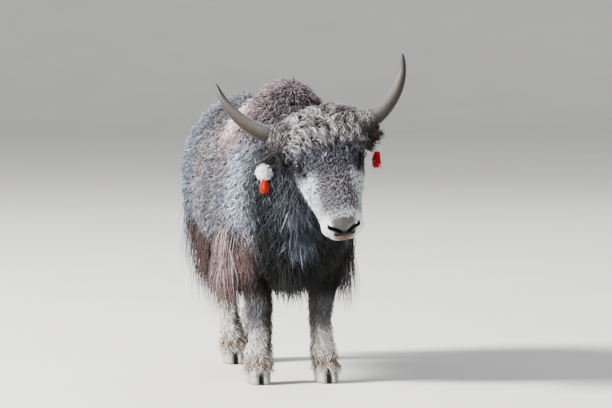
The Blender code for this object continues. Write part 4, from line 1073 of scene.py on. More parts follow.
wool_material, shader, node, join = new_material("wool")
strands = noise_over(node, join, Scale=620.0, Detail=2.0, Roughness=0.5)
own_colour(shader, node, join, strands, (0.30, 0.70), (0.82, 1.14))
bumped(shader, node, join, strands, "Fac", 0.35, 0.0006)
shader.inputs["Roughness"].default_value = 0.68
shader.inputs["Specular IOR Level"].default_value = 0.14
shader.inputs["Sheen Weight"].default_value = 0.04
shader.inputs["Sheen Roughness"].default_value = 0.45


def grizzled(colours, spread, code, staple_spread):
    """Colours varied from tuft to tuft and from staple to staple."""
    single = np.exp(chance.normal(0, spread, len(colours)))
    shared = np.exp((drawn_from(code, 3) - 0.5) * 2 * staple_spread)
    return colours * (single * shared)[:, None]


def trunk_wool(name, first, last, count, rings):
    """Wool between two places of the trunk."""
    span = (-np.pi, np.pi)
    places, angles = scattered(trunk_outline, (first, last), span, count)
    (places, angles, along, out, roots), _ = rooted(trunk_outline, trunk_skin, places, angles)
    middle_p, middle_a, code = staples(places, angles, *TRUNK_STAPLE)
    lie = hanging(out, -along, 1.0, 0.42)
    neck = rising(places, 8.0, 9.5)
    under = rising(-np.cos(angles), 0.35, 0.75)
    hump = bell(places - 7.2, 1.3) * rising(np.cos(angles), 0.1, 0.6)
    length = WOOL_LENGTH + NECK_MORE * neck + UNDER_MORE * under + HUMP_MORE * hump
    length *= (0.75 + 0.5 * drawn_from(code, 1)) * chance.uniform(0.8, 1.15, len(length))
    swirl = (drawn_from(code, 2) - 0.5) * 1.9
    lie = unit(turned(lie, out, swirl))
    pull = along_skin(trunk_skin(middle_p, middle_a) - roots, out)
    lie = unit(lie * length[:, None] + 0.5 * pull + chance.normal(0, 0.0095, roots.shape))
    colours = grizzled(coat_colours(roots), 0.55, code, 0.32)
    width = WOOL_WIDTH * chance.uniform(0.75, 1.2, len(length))
    lift = 0.50 + 0.35 * (drawn_from(code, 4) - 0.3) + chance.uniform(-0.1, 0.15, len(length))
    droop = 0.10 + 0.35 * under
    unwrap = spread_map(places, angles, (first, last), span)
    made = tufts(name, roots, out, lie, length, width, colours, unwrap, rings=rings, lift=lift, coil=0.09,
                 turns=0.8, droop=droop, dark_root=0.22, light_tip=1.50)


for piece_name, piece_facts in WOOL_PARTS.items():
    trunk_wool(piece_name, *piece_facts)


# Long hair of the flanks, chest and throat
# The skirt: locks of straight, coarse hair that hang from the lower flank, elbow, chest and brisket to their
# hem, finer towards the tips.

# Rows of long hair: first and last place in TRUNK, degrees from the top, hem height and number of locks.
SKIRT_ROWS = (
    (1.7, 6.4, 112, 142, 0.350, 1250),
    (2.2, 6.6, 138, 168, 0.310, 700),
    (0.6, 1.9, 106, 142, 0.470, 330),
    (6.2, 7.9, 108, 136, 0.325, 950),
    (7.4, 9.6, 156, 180, 0.345, 480),
    (9.6, 11.3, 150, 180, 0.560, 160),
)
SKIRT_WIDTH, SKIRT_STAPLE = 0.0052, (0.30, 0.16)
# A lock takes the body's colour from a place part of the way down it, but from none lower than this.
SKIRT_TONE_FLOOR = 0.495
# How far the locks stand off and how much higher their hem is, by side.
SKIRT_LIFT, SKIRT_RAISED = {1.0: 0.02, -1.0: 0.14}, {1.0: 0.020, -1.0: 0.0}


def skirt(name, side_of_body):
    """Long locks down one side."""
    gathered = []
    for first, last, low_angle, high_angle, hem, count in SKIRT_ROWS:
        angle_range = np.radians([low_angle, high_angle]) * side_of_body
        places, angles = scattered(trunk_outline, (first, last), np.sort(angle_range), count)
        gathered.append(np.column_stack([places, angles, np.full(count, hem)]))
    places, angles, hem = np.vstack(gathered).T
    (places, angles, along, out, roots), kept = rooted(trunk_outline, trunk_skin, places, angles)
    body = head_share(roots) < 0.5
    places, angles, hem, along, out, roots = (x[body] for x in (places, angles, hem[kept], along, out, roots))
    _, _, code = staples(places, angles, *SKIRT_STAPLE)
    hem = hem + SKIRT_RAISED[side_of_body]
    length = np.clip(roots[:, 2] - hem + chance.normal(0, 0.018, len(roots)), 0.05, 0.26)
    length *= (0.80 + 0.28 * drawn_from(code, 1)) * chance.uniform(0.7, 1.08, len(roots))
    out = unit(out * (1, 1, 0.35) + (0, 0, 0.02))
    swing = (drawn_from(code, 2) - 0.5)[:, None] * unit(along)
    lie = unit(hanging(out, -along, 1.0, 0.10) + 0.30 * swing + chance.normal(0, 0.11, roots.shape))
    shown_at = roots - np.outer(0.01 + chance.uniform(0.05, 0.5, len(roots)) * length, (0, 0, 1))
    shown_at[:, 2] = np.maximum(shown_at[:, 2], SKIRT_TONE_FLOOR)
    colours = grizzled(coat_colours(shown_at), 0.50, code, 0.30)
    unwrap = spread_map(places, np.abs(angles), (0.5, 11.5), (np.radians(95), np.pi))
    made = tufts(name, roots, out, lie, length, widths(SKIRT_WIDTH, len(length)), colours, unwrap, rings=4,
                 lift=SKIRT_LIFT[side_of_body], coil=0.030, turns=2.0, droop=0.30, dark_root=0.65,
                 light_tip=1.15)


for word, side in sides_of.items():
    skirt(f"skirt_{word}", side)


# Hair of the legs
# Dense hair, flat and dark above the knee, and pale, loose and curling below it down to the fetlock, where a
# fringe falls over the coronet.
LEG_TUFTS, LEG_WIDTH, LEG_STAPLE = 5200, 0.0042, (0.42, 0.36)
# Most that a root may lie from the skin, so that the part of the leg inside the body grows no hair.
LOST_ON_LEG = 0.006


def leg_coat(name, side_of_body):
    """Hair over one leg, from inside the body down to the hoof."""
    outline = leg_outline(name, side_of_body)
    lower = drawn_in(outline, LEG_HAIR_DEPTH, side_of_body)
    place_range, span = (0.6, leg_table(name)[-1, 0] - 0.05), (-np.pi, np.pi)
    places, angles = scattered(outline, place_range, span, LEG_TUFTS)
    (places, angles, along, out, roots), _ = rooted(outline, lower, places, angles, LOST_ON_LEG, side_of_body)
    _, _, code = staples(places, angles, *LEG_STAPLE)
    height = roots[:, 2]
    curly = 1 - rising(height, 0.20, 0.36)
    length = 0.024 - 0.002 * curly + 0.018 * bell(height - 0.075, 0.03) + 0.012 * rising(height, 0.40, 0.55)
    length *= (0.75 + 0.5 * drawn_from(code, 1)) * chance.uniform(0.8, 1.2, len(length))
    length = np.minimum(length, np.maximum(height - 0.022, 0.006))
    swirl = (drawn_from(code, 2) - 0.5) * (0.7 + 1.5 * curly)
    lie = turned(hanging(out, along, 0.6, 0.6), out, swirl)
    lie = unit(lie + chance.normal(0, 0.12, roots.shape))
    colours = grizzled(coat_colours(roots), 0.26, code, 0.20)
    unwrap = spread_map(places, angles, place_range, span)
    made = tufts(f"coat_{name}", roots, out, lie, length, widths(LEG_WIDTH, len(length)), colours, unwrap,
                 rings=2, lift=0.32 + 0.25 * curly, coil=0.05, turns=0.7, droop=0.1, dark_root=0.42,
                 light_tip=1.20)


for word, side in sides_of.items():
    leg_coat(f"foreleg_{word}", side)
    leg_coat(f"hind_leg_{word}", side)


# Tail
# A full brush of long, coarse, slightly wavy hair that grows all round the dock and hangs down to the hocks,
# finer towards its end.
TAIL_LOCKS, TAIL_WIDTH, TAIL_STAPLE, TAIL_END = 1800, 0.0090, (0.7, 0.5), 0.33


def tail_brush():
    """Long locks round the dock."""
    place_range, span = (1.6, 6.9), (-np.pi, np.pi)
    places, angles = scattered(dock_outline, place_range, span, TAIL_LOCKS)
    along = ways(dock_outline, places, angles)[0]
    roots = dock_outline(places, angles)
    out = unit(roots - dock_outline(places, angles + np.pi))
    _, _, code = staples(places, angles, *TAIL_STAPLE)
    length = 0.17 + 0.07 * rising(-roots[:, 2], -0.80, -0.55)
    length = np.minimum(length * chance.uniform(0.75, 1.1, len(length)), roots[:, 2] - TAIL_END)
    length = np.maximum(length, 0.06)
    lie = unit(hanging(out, along, 1.0, 0.2) + chance.normal(0, 0.04, roots.shape))
    colours = grizzled(coat_colours(roots), 0.26, code, 0.2)
    made = tufts("tail_brush", roots, out, lie, length, widths(TAIL_WIDTH, len(length)), colours,
                 spread_map(places, angles, place_range, span), rings=4, lift=0.14, coil=0.02, turns=1.4,
                 droop=0.35, dark_root=0.5, light_tip=1.3)


tail_brush()


# Hair of the face
# Very short, flat hair that runs down the face to the muzzle and back over the cheeks, left off the nose pad,
# the eyes and the nostrils. It is longer on the jaw and at the back of the head.
FACE_TUFTS, FACE_STAPLE, LOST_ON_FACE = 22000, (0.22, 0.13), 0.006
# The rows that the hair falls into: their pitch, where in a row its tips are, and the sines that bend it,
# each with its height, its waves round the head and its waves along it.
RIPPLE_PITCH, RIPPLE_PEAK = 0.28, 0.65
RIPPLE_BENDS = ((0.60, 6, 1.3), (0.40, 15, -2.3), (0.22, 29, 5.0))


def saw(share, peak):
    """A saw wave: a rise from nought to one at its peak and a fall back to nought."""
    return np.where(share < peak, share / peak, (1 - share) / (1 - peak))


def parted(along, out, angles):
    """The ways down the face and outwards from its middle line, both within the skin."""
    down = along_skin(along, out)
    outward = np.cross(out, down) * -np.sign(np.sin(angles))[:, None]
    return unit(down), unit(outward)


def waves_of_hair(places, angles):
    """The rows that short curly hair falls into across the face: a saw wave along it, bent by sines of the
    angle, from nought where a row's roots show to one at its tips."""
    bends = [height * np.sin(angles * round_it + places * along) for height, round_it, along in RIPPLE_BENDS]
    return saw((places / RIPPLE_PITCH + sum(bends)) % 1, RIPPLE_PEAK)


def face_hair():
    """Short tufts over the head."""
    place_range, span = (0.3, 11.5), (-np.pi, np.pi)

    def density(points, places, angles):
        """Thinner under the mop, and none on bare skin."""
        under_mop = rising(-places, -4.4, -3.6) * rising(-np.abs(angles), -1.5, -1.2)
        return bare_places(points) * (0.75 + 0.9 * rising(places, 4.0, 6.0) - 0.5 * under_mop)

    places, angles = scattered(face_outline, place_range, span, FACE_TUFTS, density, cells=(260, 260))
    (places, angles, along, out, roots), _ = rooted(face_outline, face_skin, places, angles, LOST_ON_FACE)
    haired = bare_places(roots) > 0.5
    places, angles, along, out, roots = (x[haired] for x in (places, angles, along, out, roots))
    _, _, code = staples(places, angles, *FACE_STAPLE)
    jaw = rising(-np.cos(angles), 0.2, 0.6) * rising(-places, -9.0, -7.0)
    early = rising(-places, -6.2, -4.0)
    nape = rising(-places, -4.2, -2.0) * rising(np.abs(angles), 1.2, 1.7)
    length = 0.0140 + 0.006 * early + 0.014 * np.maximum(jaw, nape) - 0.0060 * rising(places, 8.8, 10.8)
    length *= (0.8 + 0.4 * drawn_from(code, 1)) * chance.uniform(0.8, 1.2, len(length))
    down, outward = parted(along, out, angles)
    lie = unit(down + 0.35 * outward + chance.normal(0, 0.08, roots.shape))
    swirl = (drawn_from(code, 2) - 0.5) * (0.25 + 0.8 * early)
    lie = unit(along_skin(unit(turned(lie, out, swirl)), out))
    shades = coat_colours(roots)
    white = rising(shades.mean(axis=1), 0.55, 0.80)
    ripple = waves_of_hair(places, angles)
    wavy = 1 - 0.75 * white
    # Each row of hair is painted dark where its roots show and light at its tips: partly the hair's own pale
    # tips and partly painted shade between the rows.
    contrast = 1 + wavy * (2.3 * ripple - 0.93) + 0.15 * white
    colours = grizzled(shades, 0.16, code, 0.12) * contrast[:, None]
    width = (0.0034 + 0.0012 * early) * chance.uniform(0.75, 1.2, len(length))
    lift = 0.14 + 0.34 * ripple * wavy + 0.15 * early
    length = length * (1 + 0.35 * wavy * (ripple - 0.5))
    unwrap = spread_map(places, angles, place_range, span)
    made = tufts("face_hair", roots, out, lie, length, width, colours, unwrap, rings=2, lift=lift, coil=0.08,
                 turns=0.6, droop=0.05 + 0.3 * jaw, dark_root=0.40 + 0.35 * white,
                 light_tip=1.32 - 0.12 * white)


face_hair()


# Mop of the poll and forehead
# Thick, curling locks that spring from the poll between the horns and fall over the forehead to the brows,
# drawn together in staples. Their tips are bleached.
CURLS, MOP_STAPLE, LOST_IN_MOP = 4600, (0.36, 0.17), 0.030
CURL_LENGTH, CURL_WIDTH = 0.046, 0.0044


def forehead_mop():
    """Curling locks, longest at the poll."""
    place_range, span = (0.5, 5.3), np.radians([-92.0, 92.0])

    def density(points, places, angles):
        """Thinner towards the brows, and none on bare skin."""
        edge = 1 - rising(places, 4.5, 5.2) * (0.4 + 0.6 * rising(np.abs(np.sin(angles)), 0.3, 0.7))
        return edge * bare_places(points)

    places, angles = scattered(face_outline, place_range, span, CURLS, density)
    (places, angles, along, out, roots), _ = rooted(face_outline, face_skin, places, angles, LOST_IN_MOP)
    middle_p, middle_a, code = staples(places, angles, *MOP_STAPLE)
    early = rising(-places, -5.0, -3.0)
    length = CURL_LENGTH * (0.42 + 0.58 * early) * (0.75 + 0.5 * drawn_from(code, 1))
    length *= chance.uniform(0.85, 1.15, len(length))
    down, outward = parted(along, out, angles)
    sideways = np.abs(np.sin(angles))[:, None]
    lie = down * (1 - 0.3 * sideways) + 0.8 * sideways * outward
    lie = unit(lie + 0.25 * CROWN @ HEAD_AXES)
    swirl = (drawn_from(code, 2) - 0.5) * 2.6
    lie = unit(turned(lie, out, swirl) + chance.normal(0, 0.15, roots.shape))
    pull = face_skin(middle_p, middle_a) - roots
    lie = unit(along_skin(lie, out)) * length[:, None] + 1.1 * pull
    lie = unit(along_skin(lie, out))
    colours = grizzled(coat_colours(roots) * 1.15, 0.60, code, 0.50)
    made = tufts("forehead_mop", roots, out, lie, length, widths(CURL_WIDTH, len(length)), colours,
                 spread_map(places, angles, place_range, span), rings=6, lift=0.66, coil=0.14, turns=1.1,
                 droop=0.15, dark_root=0.08, light_tip=1.9, blunt=3.5)


forehead_mop()


# Hair round the horns
# Locks that wind round the root of each horn in a whorl. They are rooted in the skin there, and the last of
# them lie out on to the horn.
COLLAR_LOCKS, COLLAR_WIDTH, COLLAR_LENGTH, COLLAR_STAPLE = 1700, 0.0046, 0.022, (4.0, 0.5)
# Where the locks start along the horn, how many rows of them there are to a step, and where a row is pale.
COLLAR_START, COLLAR_ROWS, ROW_PEAK = 9.0, 0.34, 0.6


def horn_collar(word, side_of_body):
    """The whorl of one horn: locks laid round the horn's line, in rows that are dark between, partly by
    painted shade, and painted darker on the lower side as shade.
    """
    surface = sleeve_skin(side_of_body)
    place_range, span = (COLLAR_START, SLEEVE[-1][0] - 0.5), (-np.pi, np.pi)
    places, angles = scattered(surface, place_range, span, COLLAR_LOCKS)
    along, round_it, _ = ways(surface, places, angles)
    roots = surface(places, angles)
    out = unit(roots - surface(places, angles + np.pi))
    near_head = rising(-places, -32.0, -18.0)
    lie = unit(along) * (0.25 + 0.3 * near_head)[:, None] + unit(round_it) * 0.95
    lie = unit(lie + chance.normal(0, 0.12, roots.shape))
    length = COLLAR_LENGTH * chance.uniform(0.75, 1.2, len(places)) * (1 + 0.2 * near_head)
    row = (places * COLLAR_ROWS + 0.5 * np.sin(angles * 3)) % 1
    # Each row is dark between, partly painted shade, and the lower side of the whorl is painted darker as
    # shade.
    shade = 0.10 + 1.5 * saw(row, ROW_PEAK)
    shade *= 0.25 + 0.75 * rising(out @ (CROWN @ HEAD_AXES), -0.75, 0.15)
    _, _, code = staples(places, angles, *COLLAR_STAPLE)
    plain = np.tile(WOOL["poll"] ** GAMMA, (len(places), 1))
    colours = grizzled(plain, 0.30, code, 0.25) * shade[:, None]
    made = tufts(f"horn_collar_{word}", roots, out, lie, length, widths(COLLAR_WIDTH, len(length)), colours,
                 spread_map(places, angles, place_range, span), rings=3, lift=0.22, coil=0.05, turns=0.8,
                 droop=0.05, dark_root=0.35, light_tip=1.4)


for word, side in sides_of.items():
    horn_collar(word, side)


# Ears
# Each ear is a leaf-shaped cup of gristle on a round stem, dark, with hair over its back and long hair from
# its rim across the hollow. It lies out and back under the horn.

# Place of the root on the face, how the ear lies out, back and up by side, and its size and droop.
EAR_PLACE = (3.75, 97.0)
EAR_OUT, EAR_BACK, EAR_LIFT = {1.0: 0.64, -1.0: 0.66}, 0.57, {1.0: 0.42, -1.0: 0.06}
EAR_LENGTH, EAR_WIDTH, EAR_THICK, EAR_SAG = 0.108, 0.064, 0.0045, 0.013
EAR_TUFTS, EAR_HAIR_WIDTH, EAR_DARK = 1700, 0.0026, 0.10
# Along the ear: place, half width, depth of the cup's back and how hollow it is.
EAR_ROWS = (
    (-0.30, 0.27, 0.26, 0.0), (0.02, 0.30, 0.29, 0.0), (0.12, 0.38, 0.30, 0.40), (0.26, 0.47, 0.27, 0.85),
    (0.42, 0.485, 0.24, 1.0), (0.60, 0.44, 0.20, 1.0), (0.78, 0.32, 0.15, 1.0), (0.92, 0.17, 0.09, 0.6),
    (1.0, 0.04, 0.04, 0.0),
)


def ear_frame(side):
    """Root, the way the tip lies, the way across the ear and the way its cup opens."""
    root = on_face([(EAR_PLACE[0], EAR_PLACE[1] * side)])[0]
    tip = unit(np.array([EAR_OUT[side] * side, 0, 0]) - AHEAD * EAR_BACK + CROWN * EAR_LIFT[side])
    opens = np.array([0.55 * side, 0, 0]) + AHEAD * 0.75 - CROWN * 0.25
    opens = unit(opens - tip * (opens @ tip))
    return root, tip @ HEAD_AXES, np.cross(opens, tip) @ HEAD_AXES, opens @ HEAD_AXES


def ear_line(side, t):
    """A place on the ear's middle line, which droops towards its tip as the square of the way."""
    root, tip, _, _ = ear_frame(side)
    t = np.asarray(t, float)[..., None]
    return root + tip * EAR_LENGTH * t + np.array([0, 0, -EAR_SAG]) * t * t


def ear_surface(side):
    """The ear: round the outside a half ellipse, and inside a smaller one, turned in by the hollow."""
    _, _, across, opens = ear_frame(side)

    def surface(places, angles):
        """Points of the ear's outside and of the hollow of its cup."""
        half, deep, hollow = eased(EAR_ROWS, places).T * np.array([[EAR_WIDTH], [EAR_WIDTH], [1.0]])
        thick = np.minimum(EAR_THICK, 0.5 * np.minimum(half, deep))
        c, s = np.cos(angles), np.sin(angles)
        outside = c >= 0
        rim = 1 + 0.03 * np.sin(9 * places)
        u = np.where(outside, half * s, (half - thick) * s) * rim
        cup = -(deep - thick) * np.abs(c)
        full = 0.55 * deep * np.abs(c)
        v = np.where(outside, -deep * c, full + (cup - full) * hollow)
        return ear_line(side, places) + u[:, None] * across + v[:, None] * opens

    return surface


def ear_piece(word, side):
    """One ear with its hair: flat over the back, longer and looser from the rim and in the cup."""
    surface = ear_surface(side)
    cup_places = np.concatenate([np.linspace(EAR_ROWS[0][0], 0.9, 44), np.linspace(0.91, 1.0, 10)])
    made = mesh_piece(f"ear_cup_{word}", *closed_loft(grid_of(surface, cup_places, around(72))))
    height = points_of(made.data)[:, 2:3]
    shown = np.clip(EAR_DARK + 0.05 * (height - height.mean()), 0.02, 0.5)
    paint(made, shown ** GAMMA * np.ones(3))
    made.data.materials.append(skin_hair)
    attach(made, "root")
    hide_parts(f"ear_{word}")
    place_range, span = (0.02, 0.99), (-np.pi, np.pi)
    places, angles = scattered(surface, place_range, span, EAR_TUFTS)
    roots = surface(places, angles)
    along, _, out = ways(surface, places, angles, side)
    inner = np.cos(angles) < 0
    away = unit(roots - ear_line(side, places))
    out = np.where((~inner & ((out * away).sum(axis=1) < 0))[:, None], -out, out)
    opens = ear_frame(side)[3]
    out = np.where((inner & (out @ opens < 0))[:, None], -out, out)
    rim = rising(np.abs(np.sin(angles)), 0.80, 0.97)
    lie = unit(along) + np.where(inner, 0.35, 0.10)[:, None] * opens + (0, 0, -0.25)
    lie = unit(lie + chance.normal(0, 0.22, roots.shape))
    lie = unit(lie - 0.7 * out * (lie * out).sum(axis=1)[:, None])
    length = (0.012 + 0.018 * rim + 0.012 * inner) * chance.uniform(0.7, 1.25, EAR_TUFTS)
    seen = EAR_DARK + 0.09 * rim + 0.03 * inner
    colours = np.outer(seen ** GAMMA, (0.96, 1.0, 1.08)) * np.exp(chance.normal(0, 0.3, EAR_TUFTS))[:, None]
    hair = tufts(f"ear_hair_{word}", roots, out, lie, length, widths(EAR_HAIR_WIDTH, EAR_TUFTS), colours,
                 spread_map(places, angles, place_range, span), rings=2, lift=0.42, coil=0.05, turns=0.8,
                 droop=0.25, dark_root=0.7, light_tip=1.4)


for word, side in sides_of.items():
    ear_piece(word, side)


# Eyes
# A dark, wet eyeball, brown with a long level pupil and clear over the front. It sits in a socket of the skin
# and the lids lie close over it.


def ball_form(centre, look, radius, rings, sides, bulge=0.0):
    """A ball whose pole looks one way, with its front pushed out by a bell for the clear window."""
    up = unit(np.cross(look, HEAD_AXES[1]))
    across = np.cross(up, look)
    turn, angle = np.meshgrid(np.linspace(0.02, np.pi - 0.02, rings), around(sides), indexing="ij")
    far = radius * (1 + bulge * bell(turn, 0.55))
    return centre + (far * np.cos(turn))[..., None] * look + (far * np.sin(turn))[..., None] * (
        np.cos(angle)[..., None] * up + np.sin(angle)[..., None] * across)


eye_glaze, shader, node, join = new_material("eye_glaze")
flecks = noise_over(node, join, Scale=900.0, Detail=3.0)
own_colour(shader, node, join, flecks, (0.3, 0.7), (0.7, 1.3))
shader.inputs["Roughness"].default_value = 0.35
shader.inputs["Specular IOR Level"].default_value = 0.10
shader.inputs["Coat Weight"].default_value = 0.20
shader.inputs["Coat Roughness"].default_value = 0.04

for word, side in sides_of.items():
    centre, look, along, up = eye_seat(side)
    ball = ball_form(centre, look, EYE_RADIUS, rings=40, sides=56, bulge=0.04)
    eye = mesh_piece(f"eyeball_{word}", *closed_loft(ball))
    away = points_of(eye.data) - centre
    u, v = away @ along, away @ up
    iris = rising(-np.hypot(u, v), -0.0125, -0.0105)[:, None]
    pupil = rising(-np.hypot(u / 1.9, v), -0.0042, -0.0034)[:, None]
    tint = np.array([0.0045, 0.0035, 0.0030]) * (1 - iris) + np.array([0.0040, 0.0022, 0.0016]) * iris
    paint(eye, tint * (1 - pupil) + 0.001 * pupil)
    eye.data.materials.append(eye_glaze)
    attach(eye, "root")
    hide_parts(f"eye_{word}")


# Horns
# Smooth, hollow sheaths of horn on a bony core. They leave the poll sideways and sweep up in one bend, with
# faint growth rings near the base, pale on the inner, upper side of the bend and browner outside and below,
# partly their own colour and partly painted light from above with a painted highlight, and dark at the tip.
HORN_SIDES = 48
# The share of the radius that is gone at the tip and the power it goes by, the colours as the eye sees them,
# with the pale side partly painted light and the brown side partly painted shade, and the way that the pale
# side looks on the left horn.
HORN_TAPER = (0.985, 0.62)
HORN_BROWN_SHADED, HORN_PALE_LIT, HORN_TIP = (np.array(colour) for colour in (
    (0.125, 0.094, 0.066), (0.335, 0.324, 0.316), (0.15, 0.16, 0.18)))
PALE_LIT_WAY = np.array([-0.62, -0.30, 0.72])


def tube(line, radii, sides, flat, ripple=None):
    """Rings round a line: each is level with the line's way, starts across the flat way, and may be
    rippled by a function of the place along and the angle."""
    way = unit(np.gradient(line, axis=0))
    across = unit(np.cross(way, flat))
    out = np.cross(across, way)
    angles = around(sides)
    size = np.repeat(np.asarray(radii, float)[:, None], sides, axis=1)
    if ripple is not None:
        size = size * ripple(np.linspace(0, 1, len(line))[:, None], angles[None])
    return (line[:, None] + (size * np.cos(angles))[..., None] * across[:, None]
            + (size * np.sin(angles))[..., None] * out[:, None])


def growth_rings(s, angle):
    """Ridges round the base that fade up the horn, and a faint fluting along it."""
    ridges = 0.007 * np.sin(s * 150 + 0.8 * np.sin(angle)) * np.exp(-(((s - 0.24) / 0.13) ** 2))
    return 1 + ridges + 0.006 * np.sin(7 * angle + 3 * s)


horn_sheath, shader, node, join = new_material("horn_sheath")
grain = noise_over(node, join, (1.0, 1.0, 0.25), Scale=70.0, Detail=6.0, Roughness=0.65)
own_colour(shader, node, join, grain, (0.3, 0.7), (0.78, 1.16))
bumped(shader, node, join, grain, "Fac", 0.25, 0.0008)
shader.inputs["Roughness"].default_value = 0.42
shader.inputs["Specular IOR Level"].default_value = 0.22

for word, side in sides_of.items():
    line, shown = horn_line()
    line = line * (side, 1, 1)
    radii = HORN_RADIUS * (1 - shown * HORN_TAPER[0]) ** HORN_TAPER[1]
    rings = tube(from_head(line), radii, HORN_SIDES, AHEAD @ HEAD_AXES, growth_rings)
    horn = mesh_piece(f"horn_shell_{word}", *closed_loft(rings))
    along_horn = np.concatenate([np.repeat(shown, HORN_SIDES), [0.0, 1.0]])
    away = (rings - from_head(line)[:, None]).reshape(-1, 3)
    # Painted light: the side facing up and in is paler and the side below browner, partly the horn's own
    # colour.
    inner = np.concatenate([away @ (PALE_LIT_WAY * (side, 1, 1)), [0, 0]])
    inner = rising(inner / HORN_RADIUS, -0.6, 0.6)[:, None]
    seen = HORN_BROWN_SHADED * (1 - inner) + HORN_PALE_LIT * inner
    base = rising(-along_horn, -0.22, -0.02)[:, None]
    seen = seen * (1 - 0.25 * base)
    tip = rising(along_horn, 0.72, 0.97)[:, None]
    seen = seen * (1 - tip) + HORN_TIP * tip
    paint(horn, np.clip(seen, 0.02, 1) ** GAMMA)
    horn.data.materials.append(horn_sheath)
    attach(horn, "root")
    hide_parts(f"horn_{word}")


# Hooves and dewclaws
# Each foot stands on two claws of pale horn with a cleft between, ridged round by their growth and worn at
# the ground. Two small buds of the same horn hang behind the fetlock.
CLAW_OUTLINE = np.array([
    (0.009, -0.060), (0.018, -0.066), (0.029, -0.057), (0.038, -0.036), (0.0415, -0.010), (0.040, 0.018),
    (0.033, 0.036), (0.020, 0.042), (0.007, 0.036), (0.003, 0.012), (0.004, -0.018), (0.006, -0.042),
])
# Up the wall: place, height, width, and how far the toe and the heel reach.
CLAW_WALL = (
    (0.0, 0.0000, 0.84, 0.88, 0.88), (0.6, 0.0022, 0.91, 0.95, 0.93), (1.2, 0.0075, 0.985, 1.02, 0.99),
    (2.0, 0.0180, 1.00, 0.985, 1.02), (3.0, 0.0320, 1.00, 0.92, 1.03), (4.0, 0.0460, 0.98, 0.83, 1.03),
    (5.0, 0.0557, 0.94, 0.74, 1.00),
)
CLAW_SIDES = 64
# Along a dewclaw: place and radius.
BUD_SIDES = 24
BUD_SIZES = ((0.0, 0.0125), (0.35, 0.0120), (0.7, 0.0085), (0.92, 0.0040), (1.0, 0.0012))


def closed_curve(corners, count):
    """A smooth closed curve through corners: the Catmull-Rom cubic between each pair."""
    t = np.arange(count) * len(corners) / count
    i = t.astype(int)
    t = (t - i)[:, None]
    before, start, end, after = (corners[(i + k) % len(corners)] for k in (-1, 0, 1, 2))
    return 0.5 * (2 * start + (end - before) * t + (2 * before - 5 * start + 4 * end - after) * t ** 2
                  + (3 * start - before - 3 * end + after) * t ** 3)


def claw_rings(side, way, middle_x, middle_y):
    """A claw: its outline carried up the wall, drawn in at toe and heel, with shallow ridges of growth."""
    across, along = closed_curve(CLAW_OUTLINE, CLAW_SIDES).T[:, None]
    places = np.linspace(0.0, CLAW_WALL[-1][0], 40)
    z, wide, front, back = eased(CLAW_WALL, places).T[..., None]
    ridge = (1 + 0.006 * np.sin(places * 9.0) * rising(places, 1.0, 1.6))[:, None]
    x = 0.0014 + across * (wide * ridge)
    y = along * np.where(along < 0, front, back) * ridge
    return np.stack([side * (middle_x + way * x), middle_y + y, np.repeat(z, CLAW_SIDES, axis=1)], axis=-1)


hoof_horn, shader, node, join = new_material("hoof_horn")
grain = noise_over(node, join, (1.0, 1.0, 3.0), Scale=55.0, Detail=8.0, Roughness=0.7)
ramp(shader, node, join, grain, (0.30, (0.09, 0.08, 0.065)), (0.74, (0.40, 0.40, 0.375)))
bumped(shader, node, join, grain, "Fac", 0.5, 0.0012)
shader.inputs["Roughness"].default_value = 0.70
shader.inputs["Specular IOR Level"].default_value = 0.25

for word, side in sides_of.items():
    for end in ("foreleg", "hind_leg"):
        rows = leg_table(f"{end}_{word}")
        for claw_side, way in (("inner", -1.0), ("outer", 1.0)):
            claw_name = f"claw_{end}_{word}_{claw_side}"
            wall = claw_rings(side, way, rows[-1, 1], rows[-1, 2])
            claw = mesh_piece(f"horn_of_{claw_name}", *closed_loft(wall))
            x, y, z, _, _, behind = eased(rows, np.array([rows[-3, 0] - 0.1]))[0]
            start = np.array([side * (x + way * 0.020), y + behind - 0.014, z + 0.004])
            tip = start + (side * way * 0.004, 0.026, -0.026)
            t = np.linspace(0, 1, 16)
            bud_line = start + (tip - start) * t[:, None] + np.outer(np.sin(np.pi * t) * 0.002, (0, 1, 1))
            bud_name = f"dewclaw_{end}_{word}_{claw_side}"
            bud_radii = np.interp(t, *np.array(BUD_SIZES).T)
            bud_rings = tube(bud_line, bud_radii, BUD_SIDES, np.array([0.0, 1.0, 1.0]))
            bud = mesh_piece(f"horn_of_{bud_name}", *closed_loft(bud_rings))
            for piece, node_name in ((claw, claw_name), (bud, bud_name)):
                piece.data.materials.append(hoof_horn)
                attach(piece, "root")
                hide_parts(node_name)


# Ear tassels
# A twisted cord goes through a hole near each ear's tip and is knotted above it. Under the ear it carries a
# ball of white wool and a brush of wool yarn, orange on the right ear and red on the left.

# Where the hole is along the ear, the sizes of cord and knot, and how far the ball hangs, its radius and the
# length of the brush on each side.
TASSEL_HOLE = 0.820
CORD_RADIUS, CORD_STEPS, KNOT_RADIUS, COLLAR_RADIUS = 0.0028, 60, 0.0070, 0.0085
POM_DROP = {"left": 0.030, "right": 0.018}
POM_RADIUS = {"left": 0.017, "right": 0.025}
BRUSH_LENGTH = {"left": 0.072, "right": 0.060}
YARN_STRANDS, YARN_INSIDE, YARN_RADIUS = 54, 0.010, 0.0016
# The ball: how many tufts, their width, and in parts of its radius where they are rooted and its wool core.
POM_TUFTS, POM_FIBRE, POM_ROOTS, POM_CORE = 1000, 0.0036, 0.60, 0.72
# Strands and tufts are each turned on from the last by the golden angle, so they spread evenly.
GOLDEN_ANGLE = 2.39996
UP = np.array([0.0, 0.0, 1.0])


